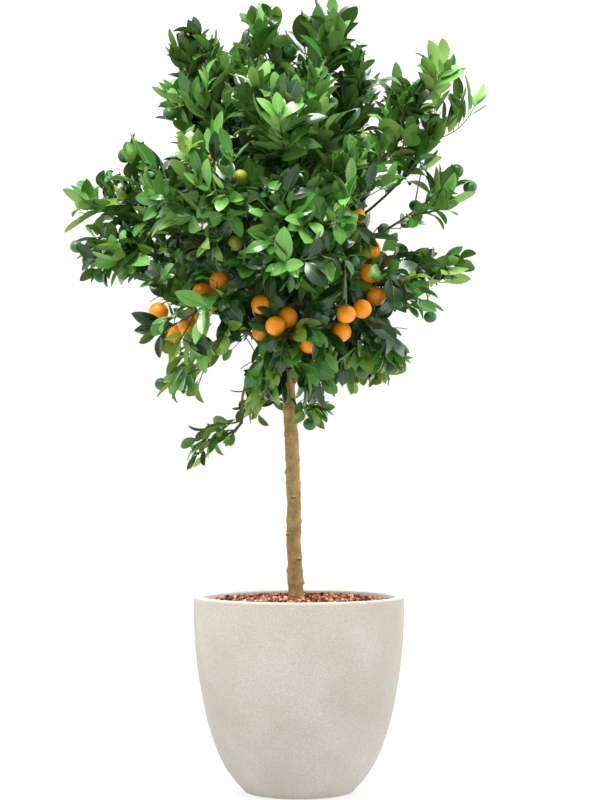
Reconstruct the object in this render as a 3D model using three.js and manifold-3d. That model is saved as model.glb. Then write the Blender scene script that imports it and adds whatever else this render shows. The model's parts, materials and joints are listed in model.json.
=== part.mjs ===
// A calamondin orange tree on a single stem, standing in a round stone-look planter.
//
// Millimetres, +Z up. The origin is the centre of the planter's flat foot, -Y is the front of the tree.
// The crown is built as the tree grows: boughs leave the trunk, each bough ends at one mass of foliage, and a
// mass is one stem with twigs and leaves that branch by a seeded rule inside the mass's own space.
import * as THREE from "three";
import { mergeVertices } from "three/addons/utils/BufferGeometryUtils.js";
import Module from "manifold-3d";

const wasm = await Module();
wasm.setup();

// ---------------------------------------------------------------- driving dimensions

const CLEARANCE = 0.3; // between two solids that rest on or meet each other
const CUT_CLEARANCE = 1.3 * CLEARANCE; // round a faceted limb that another solid is cut clear of
const SMALLEST_DETAIL = 0.1; // smaller slivers, left where solids are joined, are smoothed away
const GOLDEN_ANGLE = THREE.MathUtils.degToRad(137.5); // leaves and twigs turn by this round what carries them
const UP = new THREE.Vector3(0, 0, 1);

const PLANTER = {
  height: 325,
  radius: 176.5, // at the widest, just under the rim
  widestAt: 306,
  footRadius: 84,
  footRounding: 6,
  footRise: 0.35, // how high the foot's one bevel ends, as a share of its rounding
  outsideLevels: [0.02, 0.05, 0.09, 0.17, 0.3, 0.5, 0.75], // of the outside's edges, as shares of the height
  rimRounding: 4,
  wall: 16,
  floor: 18,
  belly: 0.345, // share of the radius lost to the slow curve down to the foot
  tuck: 0.158, // and to the quick one near the foot
  tuckPower: 9,
  sides: 28, // of the soil and the granules too, so that their edges lie along the wall's
};

const SOIL = { top: 303 };
const GRANULES = { depth: 12, roughness: 5, collar: 19, rings: 3 };

const TRUNK = {
  top: 700,
  radiusTop: 11,
  taper: 1.9, // more radius at the ground than at the fork
  flare: 1.4, // root flare on top of that
  flareHeight: 40,
  // The stem's centre line, which leans a little to the left: [x, height].
  line: [
    [-3, 303],
    [-8, 400],
    [-9, 500],
    [-13, 600],
    [-20, 700],
  ],
  sides: 8,
  rings: 12,
};

const BOUGH = {
  baseRadius: 7.5,
  sideRadius: 5.2,
  tipRadius: 3.4,
  slimTip: 0.75, // the tip's radius against the base's, on a slim bough
  spread: 0.9, // how far a bough sets out across its parent, against along it
  pull: 0.36, // how long it keeps to the way it set out, as a share of its length
  sides: 4,
  steps: 4,
};
const STEM = {
  radius: 4.4,
  tipRadius: 3,
  elbow: 0.45, // where it stops keeping to the way it set out, as a share of its length
  shortOfEnd: 0.97, // how far before the mass ends it ends, in leaf lengths
  sides: 3,
  steps: 2,
};
const TWIG = {
  ofStem: 0.42, // its radius against its stem's, so that its root is inside the stem
  tipRadius: 1.4,
  sides: 3,
  perStem: 6,
  stagger: 0.4, // how much chance shifts its place, and the turn round its stem
  turnWobble: 0.6,
  firstAlong: 0.1, // of the stem
  lastAlong: 0.98,
  rootAngle: 64, // degrees off the stem, for a twig at its root
  tipAngle: 38, // and for one at its tip
  wobble: 12, // degrees in all that chance adds or takes
  endRoom: 0.35, // of a leaf's length, left free beyond the twig's end
  shortest: 14,
  longest: 125,
  margin: 3, // kept free between it and the limbs, and between its end and the border
  lift: 0.12, // how far its end is turned up, as a share of its length
};
const LEAF = {
  length: 94,
  width: 50,
  widestAt: 0.46, // of its length
  fold: 2.6,
  droop: 5,
  neck: 0.04, // share of its length in which it may touch its neighbours
  spacing: 7, // between leaves near a tip
  limbMargin: 2, // kept free between it and the limbs
  fruitMargin: 1, // and between it and fruit
  angle: 55, // degrees off the limb that it stands on
  tipAngle: 45,
  attempts: 6, // places round the limb that are tried
  shrink: 0.07, // and how much smaller it is each time
  upwards: 0.45, // how much its face turns to the sky, against outwards from the crown
  alongLimb: 0.2, // and to the way its limb runs
  chance: 1.5, // and any way at all
  firstAlong: 0.15, // of its limb
  lastAlong: 0.99,
  tipsFrom: 0.3, // how far back along its limb a leaf of the tip may stand
  endAngle: 8, // of the leaf that a twig ends in
  alongStem: 4,
  atStemTip: 6,
  alongTwig: 2,
  atTwigTip: 3,
};
const RIPE = { radius: 16.5, around: 6, rings: 4 };
const GREEN = { radius: 11.5, around: 5, rings: 3 };
const STALK = { radius: 1.3, sides: 3, tries: 12 }; // tries: places on each limb that it may start from
const BUNCH = { depth: 0.35, height: 0.94 }; // of a bunch of fruit, against its width
const DRAW_IN = { step: 0.05, toMiddle: 0.3 }; // how a fruit is drawn in until it fits
const EGG_POWER = 2.6; // of a mass's space: 2 is an ellipsoid, and more is fuller
const PROBE = { step: 4, furthest: 400 }; // for the room ahead of a twig
const LIMB_SAMPLE = 6; // between two points of a limb, for keeping leaves clear of it

// All the foliage points away from the hub, a point in the middle of the lower crown.
const HUB = new THREE.Vector3(-15, 0, 850);
const START = 125; // a mass begins this far from the hub, where its bough ends

// The masses of foliage. way is where each points, as its azimuth and elevation in degrees: azimuth runs
// from the right (+X, 0) through the back (90) and the left (180) to the front (270). reach is from the hub
// to the furthest leaf tip, width the mass's half width, and arch says how far its stem starts above (+) or
// below (-) the straight line. on names the bough, or the trunk, that its own bough grows from, and at says
// how far along that is, as a share of its length.
const MASSES = [
  { name: "top", way: [350, 82], reach: 474, width: 112, arch: 0, on: "trunk", at: 1 },
  { name: "top_left", way: [190, 68], reach: 482, width: 98, arch: -0.1, on: "top", at: 0.35 },
  { name: "top_back", way: [120, 74], reach: 498, width: 108, arch: 0, on: "top", at: 0.72 },
  { name: "top_right", way: [2, 71], reach: 426, width: 92, arch: -0.1, on: "top", at: 0.6 },
  { name: "front_high", way: [268, 52], reach: 400, width: 121, arch: 0, on: "top", at: 0.5 },
  { name: "right_upper", way: [3, 45.5], reach: 468, width: 76, arch: -0.25, on: "trunk", at: 0.94 },
  { name: "right_shoot", way: [350, 54], reach: 474, width: 84, arch: -0.2, on: "right_upper", at: 0.8 },
  { name: "right_middle", way: [352, 30], reach: 352, width: 70, arch: -0.2, on: "right_upper", at: 0.62 },
  { name: "right_lower", way: [350, 7], reach: 326, width: 77, arch: 0.2, on: "right_upper", at: 0.45 },
  { name: "right_low", way: [338, -34], reach: 252, width: 78, arch: 0.4, on: "right_upper", at: 0.28 },
  { name: "left_tip", way: [183, 21.6], reach: 410, width: 106, arch: 0.2, on: "trunk", at: 0.9 },
  { name: "left_upper", way: [194, 36], reach: 370, width: 80, arch: -0.1, on: "left_tip", at: 0.85 },
  { name: "left_lower", way: [186, 10], reach: 372, width: 86, arch: 0.1, on: "left_tip", at: 0.7 },
  { name: "upper_left", way: [165, 59], reach: 402, width: 102, arch: -0.1, on: "left_tip", at: 0.5 },
  { name: "left_hanging", way: [205, -43], reach: 300, width: 76, arch: 0.55, on: "left_tip", at: 0.35 },
  { name: "front_left", way: [240, 28], reach: 365, width: 121, arch: 0, on: "trunk", at: 0.86 },
  { name: "front", way: [274, 13], reach: 345, width: 110, arch: 0, on: "front_left", at: 0.7 },
  { name: "front_right", way: [297, 27], reach: 330, width: 108, arch: 0, on: "front_left", at: 0.55 },
  { name: "front_low_left", way: [228, -12], reach: 320, width: 106, arch: 0.3, on: "front_left", at: 0.75 },
  { name: "front_low", way: [264, -38], reach: 285, width: 104, arch: 0.3, on: "front_left", at: 0.4 },
  { name: "front_low_right", way: [325, -14], reach: 276, width: 82, arch: 0.3, on: "front_right", at: 0.6 },
  { name: "back", way: [80, 46], reach: 405, width: 129, arch: 0, on: "trunk", at: 0.97 },
  { name: "back_left", way: [130, 22], reach: 385, width: 127, arch: 0, on: "back", at: 0.6 },
  { name: "back_right", way: [63, 22], reach: 365, width: 121, arch: 0, on: "back", at: 0.75 },
  { name: "back_low_left", way: [118, -27], reach: 285, width: 100, arch: 0.3, on: "back", at: 0.3 },
  { name: "back_low_right", way: [55, -18], reach: 278, width: 114, arch: 0.3, on: "back", at: 0.45 },
];

// Small masses that need no bough: they sprout from the trunk itself, under the crown.
const SPROUTS = [
  { name: "sprout_front", trunkAt: 0.9, to: [26, -60, 602], width: 60, arch: 0.35, leaf: 0.72 },
  { name: "sprout_left", trunkAt: 0.87, to: [-132, 36, 658], width: 50, arch: 0.5, leaf: 0.72 },
];

// The long shoot that hangs out of the crown on the left and turns up at its end.
const STRAND = {
  name: "strand",
  on: "left_tip",
  at: 0.22,
  elbow: [-112, -22, 730],
  from: [-94, -24, 630],
  to: [-202, -30, 544],
  width: 48,
  leaf: 0.72,
  radius: 3.2, // of its bough, which is slimmer than the others
};

// Fruit by the place it hangs at, which is drawn in towards its mass until it fits there. Ripe fruit hang in
// bunches in the lower crown, and green ones sit singly among the leaves all over.
const RIPE_BUNCHES = [
  { at: [-232, -62, 800], count: 1 },
  { at: [-192, -66, 772], count: 2 },
  { at: [-150, -150, 842], count: 2 },
  { at: [-62, -205, 820], count: 1 },
  { at: [-24, -222, 782], count: 3 },
  { at: [84, -170, 792], count: 3 },
  { at: [122, -120, 832], count: 1 },
  { at: [60, -215, 868], count: 1 },
  { at: [-70, 215, 800], count: 2 },
  { at: [60, 200, 790], count: 3 },
  { at: [-170, 150, 815], count: 2 },
  { at: [170, 110, 850], count: 1 },
];
const GREEN_FRUIT = [
  [29, -20, 1290],
  [-118, -20, 1214],
  [113, 10, 1191],
  [-14, -190, 1090],
  [265, -10, 1040],
  [-219, -60, 963],
  [-291, -30, 1060],
  [-373, -10, 910],
  [281, -20, 870],
  [106, -60, 700],
  [18, -26, 616],
  [-160, 190, 960],
  [150, 180, 960],
  [40, 230, 1080],
];

const COLOURS = {
  planter: 0xd6cec1,
  soil: 0x3a2a20,
  granules: 0x9c5a40,
  bark: 0xa1824f,
  twig: 0x4f6135,
  leaf: 0x3f6b33,
};

// ---------------------------------------------------------------- solids

function material(name, color, roughness) {
  return new THREE.MeshStandardMaterial({ name, color, roughness, metalness: 0, flatShading: true });
}

const MATERIALS = {
  planter: material("planter_stone", COLOURS.planter, 0.75),
  soil: material("potting_soil", COLOURS.soil, 1),
  granules: material("clay_granules", COLOURS.granules, 0.9),
  bark: material("bark", COLOURS.bark, 0.85),
  twig: material("bough_bark", COLOURS.twig, 0.7),
  leaf: material("foliage", COLOURS.leaf, 0.45),
};

// A seeded random source (mulberry32), so that the tree is the same every time.
function seeded(seed) {
  let state = seed >>> 0;
  return () => {
    state = (state + 0x6d2b79f5) >>> 0;
    let mixed = Math.imul(state ^ (state >>> 15), state | 1);
    mixed = (mixed + Math.imul(mixed ^ (mixed >>> 7), mixed | 61)) ^ mixed;
    return ((mixed ^ (mixed >>> 14)) >>> 0) / 4294967296;
  };
}

function solidOf(geometry) {
  geometry.deleteAttribute("normal");
  geometry.deleteAttribute("uv");
  const merged = mergeVertices(geometry, 1e-4);
  return new wasm.Manifold(
    new wasm.Mesh({
      numProp: 3,
      vertProperties: merged.getAttribute("position").array,
      triVerts: new Uint32Array(merged.index.array),
    }),
  );
}

function geometryOf(solid) {
  const mesh = solid.getMesh();
  const geometry = new THREE.BufferGeometry();
  geometry.setAttribute("position", new THREE.BufferAttribute(mesh.vertProperties, 3));
  geometry.setIndex(new THREE.BufferAttribute(mesh.triVerts, 1));
  return geometry;
}

function largestPart(solid) {
  return solid.decompose().reduce((best, part) => (part.volume() > best.volume() ? part : best));
}

// Turns a profile of [radius, height] points round the vertical axis.
function turned(profile, sides) {
  const points = profile.map(([radius, height]) => new THREE.Vector2(radius, height));
  return new THREE.LatheGeometry(points, sides).rotateX(Math.PI / 2);
}

// A limb is a cylinder bent along a curve, with its radius given by how far along it is.
function limbGeometry(curve, radiusAt, sides, steps) {
  const geometry = new THREE.CylinderGeometry(1, 1, 1, sides, steps);
  const frames = curve.computeFrenetFrames(steps);
  const position = geometry.getAttribute("position");
  const point = new THREE.Vector3();
  for (let i = 0; i < position.count; i++) {
    const ring = Math.round((position.getY(i) + 0.5) * steps);
    const along = ring / steps;
    const radius = radiusAt(along);
    curve.getPointAt(along, point);
    point.addScaledVector(frames.normals[ring], position.getX(i) * radius);
    point.addScaledVector(frames.binormals[ring], -position.getZ(i) * radius);
    position.setXYZ(i, point.x, point.y, point.z);
  }
  return geometry;
}

function tapered(from, to) {
  return (along) => from + (to - from) * along;
}

// ---------------------------------------------------------------- planter, soil and granules

function planterRadius(height) {
  const drop = Math.max(0, 1 - height / PLANTER.widestAt);
  return PLANTER.radius * (1 - PLANTER.belly * drop ** 2 - PLANTER.tuck * drop ** PLANTER.tuckPower);
}

function insideRadius(height) {
  return planterRadius(height) - PLANTER.wall;
}

// The heights at which the inside wall has an edge; the soil's own edges lie at the same heights.
const INSIDE_LEVELS = [PLANTER.floor, 0.25 * PLANTER.height, 0.6 * PLANTER.height, SOIL.top];

function planterProfile() {
  const { height, footRadius, footRounding, footRise, rimRounding, wall, floor } = PLANTER;
  const outside = PLANTER.outsideLevels.map((share) => share * height);
  const rim = planterRadius(height);
  return [
    [0, 0],
    [footRadius, 0],
    [footRadius + footRounding, footRounding * footRise],
    ...outside.map((z) => [planterRadius(z), z]),
    [rim, height - rimRounding],
    [rim - rimRounding * 0.3, height - rimRounding * 0.25],
    [rim - rimRounding, height],
    [rim - wall + rimRounding * 0.5, height],
    [rim - wall, height - rimRounding],
    ...INSIDE_LEVELS.toReversed().map((z) => [insideRadius(z), z]),
    [0, floor],
  ];
}

function soilProfile() {
  const bottom = PLANTER.floor + CLEARANCE;
  const side = INSIDE_LEVELS.map((z) => [insideRadius(z) - 2 * CLEARANCE, Math.max(z, bottom)]);
  return [[0, bottom], ...side, [0, SOIL.top]];
}

// The layer of broken clay granules on the soil, with a rough top and a hole that the trunk stands in.
function granulesGeometry() {
  const { collar, depth, roughness, rings } = GRANULES;
  const { sides } = PLANTER;
  const bottom = SOIL.top + CLEARANCE;
  const outer = insideRadius(SOIL.top) - 2 * CLEARANCE;
  const top = [];
  for (let ring = rings; ring >= 0; ring--) {
    top.push([collar + ((outer - collar) * ring) / rings, bottom + depth]);
  }
  const profile = [[collar, bottom], [outer, bottom], ...top, [collar, bottom]];
  const random = seeded(11);
  const bumps = profile.map(() => Array.from({ length: sides }, () => (random() * 2 - 1) * roughness));
  const geometry = turned(profile, sides);
  const position = geometry.getAttribute("position");
  for (let i = 0; i < position.count; i++) {
    const row = i % profile.length;
    const onTop = row > 1 && row < profile.length - 1;
    const side = Math.floor(i / profile.length) % sides; // the last column lies on the first
    if (onTop) position.setZ(i, position.getZ(i) + bumps[row][side]);
  }
  return geometry;
}

// ---------------------------------------------------------------- trunk and boughs

const trunkCurve = new THREE.CatmullRomCurve3(
  TRUNK.line.map(([x, z], i) => new THREE.Vector3(x, 0, i === 0 ? z + CLEARANCE : z)),
);

function trunkRadius(along) {
  const height = along * (TRUNK.top - SOIL.top);
  return TRUNK.radiusTop + TRUNK.taper * (1 - along) + TRUNK.flare * Math.exp(-height / TRUNK.flareHeight);
}

// The trunk's rings are level, so that its foot is a flat cut on the soil and its top one under the leader.
function trunkGeometry(extra = 0) {
  const geometry = limbGeometry(trunkCurve, (t) => trunkRadius(t) + extra, TRUNK.sides, TRUNK.rings);
  const position = geometry.getAttribute("position");
  for (let i = 0; i < position.count; i++) {
    const ring = Math.round(
      (TRUNK.rings * (position.getZ(i) - SOIL.top)) / (TRUNK.top - SOIL.top),
    );
    position.setZ(i, trunkCurve.getPointAt(ring / TRUNK.rings).z);
  }
  return geometry;
}

function polar(azimuth, elevation) {
  const a = THREE.MathUtils.degToRad(azimuth);
  const e = THREE.MathUtils.degToRad(elevation);
  return new THREE.Vector3(Math.cos(a) * Math.cos(e), Math.sin(a) * Math.cos(e), Math.sin(e));
}

// The way a bough sets out: between its parent's own direction and straight across towards its tip.
function setOut(parent, along, tip) {
  const tangent = parent.curve.getTangentAt(along);
  const across = tip.clone().sub(parent.curve.getPointAt(along));
  across.addScaledVector(tangent, -across.dot(tangent)).normalize();
  return tangent.addScaledVector(across, BOUGH.spread).normalize();
}

// A bough leaves its parent's centre line and arrives at its mass along the mass's own heading. It is cut
// clear of every limb that was made before it, which at the fork gives each its place beside the others.
function makeBough(mass, parent, earlier) {
  const root = parent.curve.getPointAt(mass.at);
  const leader = mass.at === 1;
  if (leader) root.addScaledVector(UP, CLEARANCE);
  const pull = BOUGH.pull * root.distanceTo(mass.from);
  const way = leader ? UP : setOut(parent, mass.at, mass.elbow ?? mass.from);
  const first = root.clone().addScaledVector(way, pull);
  const last = mass.from.clone().addScaledVector(mass.heading, -pull);
  const curve = new THREE.CubicBezierCurve3(root, first, last, mass.from);
  const sideRadius = mass.radius ?? (parent.isTrunk ? BOUGH.baseRadius : BOUGH.sideRadius);
  const tipRadius = mass.radius ? mass.radius * BOUGH.slimTip : BOUGH.tipRadius;
  const radiusAt = tapered(leader ? TRUNK.radiusTop - 1 : sideRadius, tipRadius);
  const shape = (extra) => limbGeometry(curve, (t) => radiusAt(t) + extra, BOUGH.sides, BOUGH.steps);
  let solid = solidOf(shape(0));
  if (leader) solid = solid.trimByPlane([0, 0, 1], root.z);
  else solid = largestPart(solid.subtract(wasm.Manifold.union(earlier.map((limb) => limb.grown()))));
  return { name: `bough_${mass.name}`, curve, radiusAt, solid, grown: () => solidOf(shape(CUT_CLEARANCE)) };
}

// ---------------------------------------------------------------- the spaces of the masses

// The points of two straight axes that lie nearest to each other.
function nearestPoints(a, b) {
  const alongA = a.to.clone().sub(a.from);
  const alongB = b.to.clone().sub(b.from);
  const between = a.from.clone().sub(b.from);
  const aa = alongA.lengthSq();
  const bb = alongB.lengthSq();
  const ab = alongA.dot(alongB);
  const wa = alongA.dot(between);
  const wb = alongB.dot(between);
  const clamp = (v) => THREE.MathUtils.clamp(v, 0, 1);
  let s = clamp((ab * wb - wa * bb) / Math.max(aa * bb - ab * ab, 1e-9));
  let t = clamp((ab * s + wb) / bb);
  s = clamp((ab * t - wa) / aa);
  return [a.from.clone().addScaledVector(alongA, s), b.from.clone().addScaledVector(alongB, t)];
}

// A mass keeps to an egg round its axis, cut off by a flat border halfway to each neighbour.
function giveSpaces(masses) {
  for (const mass of masses) {
    mass.axis = mass.to.clone().sub(mass.from);
    mass.half = mass.axis.length() / 2;
    mass.axis.normalize();
    mass.centre = mass.from.clone().add(mass.to).multiplyScalar(0.5);
    mass.borders = [];
  }
  masses.forEach((mass, i) => {
    for (const other of masses.slice(i + 1)) {
      const [mine, theirs] = nearestPoints(mass, other);
      const toOther = theirs.clone().sub(mine);
      const share = mass.width / (mass.width + other.width);
      const middle = mine.clone().addScaledVector(toOther, share);
      toOther.normalize();
      mass.borders.push({ normal: toOther, limit: toOther.dot(middle) });
      other.borders.push({ normal: toOther.clone().negate(), limit: -toOther.dot(middle) });
    }
  });
}

function inBorders(mass, point, margin) {
  return mass.borders.every(({ normal, limit }) => normal.dot(point) + margin < limit);
}

// The egg is fuller than an ellipsoid, so that there is room for leaves near both of its ends.
function inEgg(mass, point, margin) {
  const offset = point.clone().sub(mass.centre);
  const along = Math.abs(offset.dot(mass.axis));
  const across = Math.sqrt(Math.max(0, offset.lengthSq() - along * along));
  return (along / (mass.half - margin)) ** EGG_POWER + (across / (mass.width - margin)) ** EGG_POWER <= 1;
}

function inSpace(mass, point, margin) {
  return inEgg(mass, point, margin) && inBorders(mass, point, margin);
}

// How far one can go from a point in a direction before leaving the mass's space.
function roomAhead(mass, point, heading) {
  const { step, furthest } = PROBE;
  const probe = point.clone();
  let gone = 0;
  while (gone < furthest && inSpace(mass, probe.addScaledVector(heading, step), 1)) gone += step;
  return gone;
}

// ---------------------------------------------------------------- growth

// The trunk and boughs as points with a radius, for keeping leaves and twigs clear of them.
const limbPoints = [];

function noteLimb(curve, radiusAt) {
  const count = Math.ceil(curve.getLength() / LIMB_SAMPLE);
  for (let i = 0; i <= count; i++) {
    limbPoints.push({ point: curve.getPointAt(i / count), radius: radiusAt(i / count) });
  }
}

function clearOfLimbs(distanceTo, margin) {
  return limbPoints.every(({ point, radius }) => distanceTo(point) > radius + margin);
}

const stemRadius = tapered(STEM.radius, STEM.tipRadius);

// A leaf is a lozenge folded along its midrib, with its tip drooping. Its blade, for testing what it would
// touch, starts a little way along, because leaves that share a root do meet there.
function makeLeaf(placement, droop) {
  const { length, width, widestAt, fold, neck } = LEAF;
  const corners = {
    base: new THREE.Vector3(0, 0, 0),
    tip: new THREE.Vector3(0, length, -droop),
    left: new THREE.Vector3(-width / 2, length * widestAt, fold),
    right: new THREE.Vector3(width / 2, length * widestAt, fold),
  };
  for (const corner of Object.values(corners)) corner.applyMatrix4(placement);
  const { base, tip, left, right } = corners;
  const start = base.clone().lerp(tip, neck);
  return {
    corners,
    middle: left.clone().lerp(right, 0.5),
    halves: [new THREE.Triangle(start, left, tip), new THREE.Triangle(start, tip, right)],
    edges: [
      [start, left],
      [left, tip],
      [tip, right],
      [right, start],
      [start, tip],
    ],
  };
}

function leafGeometry({ base, tip, left, right }) {
  const geometry = new THREE.TetrahedronGeometry(1);
  const position = geometry.getAttribute("position");
  for (let i = 0; i < position.count; i++) {
    const atSide = position.getZ(i) > 0;
    const sideCorner = position.getX(i) > 0 ? right : left;
    const endCorner = position.getY(i) > 0 ? tip : base;
    position.setXYZ(i, ...(atSide ? sideCorner : endCorner));
  }
  return geometry;
}

// Leaves look up and outwards: the blade's normal is what is left of that across the leaf's own direction.
function leafPlacement(root, heading, tangent, random, scale) {
  const outwards = root.clone().sub(HUB).normalize();
  const anyWay = new THREE.Vector3(random() - 0.5, random() - 0.5, random() - 0.5);
  const facing = outwards.addScaledVector(UP, LEAF.upwards).addScaledVector(tangent, LEAF.alongLimb);
  facing.addScaledVector(anyWay, LEAF.chance);
  facing.addScaledVector(heading, -facing.dot(heading)).normalize();
  const side = heading.clone().cross(facing);
  const placement = new THREE.Matrix4().makeBasis(side, heading, facing);
  placement.scale(new THREE.Vector3(scale, scale, scale));
  return placement.setPosition(root);
}

// A direction that leaves a limb at an angle, turned round it.
function leaving(tangent, turn, angle) {
  const across = new THREE.Vector3(0, 0, 1).cross(tangent);
  if (across.lengthSq() < 0.01) across.set(1, 0, 0);
  across.normalize().applyAxisAngle(tangent, turn);
  return tangent.clone().multiplyScalar(Math.cos(angle)).addScaledVector(across, Math.sin(angle)).normalize();
}

const ray = new THREE.Ray();
const hit = new THREE.Vector3();

// Whether the straight line between two points passes through a triangle.
function pierces([from, to], { a, b, c }) {
  ray.origin.copy(from);
  ray.lookAt(to);
  return ray.intersectTriangle(a, b, c, false, hit) !== null && hit.distanceTo(from) < from.distanceTo(to);
}

function leavesCross(one, other) {
  if (one.middle.distanceTo(other.middle) > LEAF.length) return false;
  const through = (a, b) => a.edges.some((edge) => b.halves.some((half) => pierces(edge, half)));
  return through(one, other) || through(other, one);
}

function nearestOnBlade({ halves }, point) {
  const spots = halves.map((half) => half.closestPointToPoint(point, new THREE.Vector3()));
  return Math.min(...spots.map((spot) => spot.distanceTo(point)));
}

function growTwigs(mass, random) {
  const twigs = [];
  for (let i = 0; i < TWIG.perStem; i++) {
    const place = (i + 0.5 + TWIG.stagger * (random() - 0.5)) / TWIG.perStem;
    const along = THREE.MathUtils.lerp(TWIG.firstAlong, TWIG.lastAlong, place);
    const turn = i * GOLDEN_ANGLE + mass.phase + TWIG.turnWobble * (random() - 0.5);
    const plain = THREE.MathUtils.lerp(TWIG.rootAngle, TWIG.tipAngle, along);
    const angle = THREE.MathUtils.degToRad(plain + TWIG.wobble * (random() - 0.5));
    const root = mass.stem.getPointAt(along);
    const heading = leaving(mass.stem.getTangentAt(along), turn, angle);
    const room = roomAhead(mass, root, heading) - LEAF.length * mass.leaf * TWIG.endRoom;
    const length = Math.min(TWIG.longest, room);
    if (length < TWIG.shortest) continue;
    const end = root.clone().addScaledVector(heading, length).addScaledVector(UP, length * TWIG.lift);
    const line = new THREE.Line3(root, end);
    const gap = (point) => line.closestPointToPoint(point, true, new THREE.Vector3()).distanceTo(point);
    if (!inSpace(mass, end, TWIG.margin) || !clearOfLimbs(gap, TWIG.margin)) continue;
    twigs.push({ curve: new THREE.LineCurve3(root, end), radius: stemRadius(along) * TWIG.ofStem });
  }
  return twigs;
}

function growLeaves(mass, limbs, random) {
  const leaves = [];
  const wood = limbs.flatMap(({ curve }) => {
    const points = curve.getSpacedPoints(3);
    return points.slice(1).map((point, i) => [points[i], point]);
  });
  const fits = (leaf, last) =>
    Object.values(leaf.corners).every((p) => inBorders(mass, p, CLEARANCE) && (last || inEgg(mass, p, 0))) &&
    !leaves.some((other) => leavesCross(leaf, other)) &&
    !wood.some((line) => leaf.halves.some((half) => pierces(line, half))) &&
    mass.fruit.every(({ centre, radius }) => nearestOnBlade(leaf, centre) > radius + LEAF.fruitMargin) &&
    clearOfLimbs((point) => nearestOnBlade(leaf, point), LEAF.limbMargin);
  const addLeaf = (root, tangent, turn, angle, last = false) => {
    for (let attempt = 0; attempt < LEAF.attempts; attempt++) {
      const heading = leaving(tangent, turn + attempt * GOLDEN_ANGLE, THREE.MathUtils.degToRad(angle));
      const scale = mass.leaf * (1 - LEAF.shrink * attempt);
      const leaf = makeLeaf(leafPlacement(root, heading, tangent, random, scale), last ? 0 : LEAF.droop);
      if (!fits(leaf, last)) continue;
      leaves.push(leaf);
      return;
    }
  };
  limbs.forEach(({ curve, alongCount, tipCount }, which) => {
    const turn = which + mass.phase;
    const length = curve.getLength();
    const ofStem = which === 0;
    const endAngle = ofStem ? 0 : LEAF.endAngle;
    addLeaf(curve.getPointAt(LEAF.lastAlong), curve.getTangentAt(1), turn, endAngle, ofStem);
    for (let i = 1; i < tipCount; i++) {
      const along = Math.max(LEAF.tipsFrom, LEAF.lastAlong - (i * LEAF.spacing) / length);
      addLeaf(curve.getPointAt(along), curve.getTangentAt(along), turn + i * GOLDEN_ANGLE, LEAF.tipAngle);
    }
    const span = 1 - LEAF.firstAlong - (tipCount * LEAF.spacing) / length;
    for (let i = 0; i < alongCount; i++) {
      const along = LEAF.firstAlong + (span * (i + 0.5)) / alongCount;
      const leafTurn = turn + (tipCount + i) * GOLDEN_ANGLE;
      addLeaf(curve.getPointAt(along), curve.getTangentAt(along), leafTurn, LEAF.angle);
    }
  });
  return leaves;
}

function fruitGeometry({ centre, radius, around, rings }) {
  return new THREE.SphereGeometry(radius, around, rings).rotateX(Math.PI / 2).translate(...centre);
}

// The stalk runs from inside the fruit to the nearest point of the mass's limbs.
function stalkGeometry({ centre }, limbs) {
  let nearest = null;
  for (const { curve } of limbs) {
    for (let i = 0; i <= STALK.tries; i++) {
      const point = curve.getPointAt(i / STALK.tries);
      if (!nearest || point.distanceTo(centre) < nearest.distanceTo(centre)) nearest = point;
    }
  }
  const line = new THREE.LineCurve3(nearest, centre);
  return limbGeometry(line, () => STALK.radius, STALK.sides, 1);
}

// Gives a fruit to the mass it is nearest to, drawn in towards the middle of that mass's stem until it fits.
function hangFruit(masses, at, kind) {
  const { radius } = kind;
  const axisPoint = ({ from, to }) => {
    return new THREE.Line3(from, to).closestPointToPoint(at, true, new THREE.Vector3());
  };
  const depth = (mass) => axisPoint(mass).distanceTo(at) / mass.width;
  const home = masses.reduce((best, mass) => (depth(mass) < depth(best) ? mass : best));
  const inner = axisPoint(home).lerp(home.centre, DRAW_IN.toMiddle);
  for (let drawn = 0; drawn < 1; drawn += DRAW_IN.step) {
    const centre = at.clone().lerp(inner, drawn);
    const fits = inBorders(home, centre, radius + 1) && inEgg(home, centre, radius * 0.5);
    const apart = home.fruit.every((other) => other.centre.distanceTo(centre) > other.radius + radius - 1);
    if (fits && apart) {
      home.fruit.push({ centre, ...kind });
      return;
    }
  }
}

function hangAllFruit(masses) {
  for (const mass of masses) mass.fruit = [];
  for (const { at, count } of RIPE_BUNCHES) {
    const off = count === 1 ? 0 : RIPE.radius / Math.sin(Math.PI / count);
    for (let i = 0; i < count; i++) {
      const turn = (i * 2 * Math.PI) / count + at[0];
      const offset = new THREE.Vector3(Math.cos(turn), Math.sin(turn), Math.sin(turn));
      offset.multiply(new THREE.Vector3(1, BUNCH.depth, BUNCH.height));
      hangFruit(masses, new THREE.Vector3(...at).addScaledVector(offset, off), RIPE);
    }
  }
  for (const at of GREEN_FRUIT) hangFruit(masses, new THREE.Vector3(...at), GREEN);
}

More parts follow.
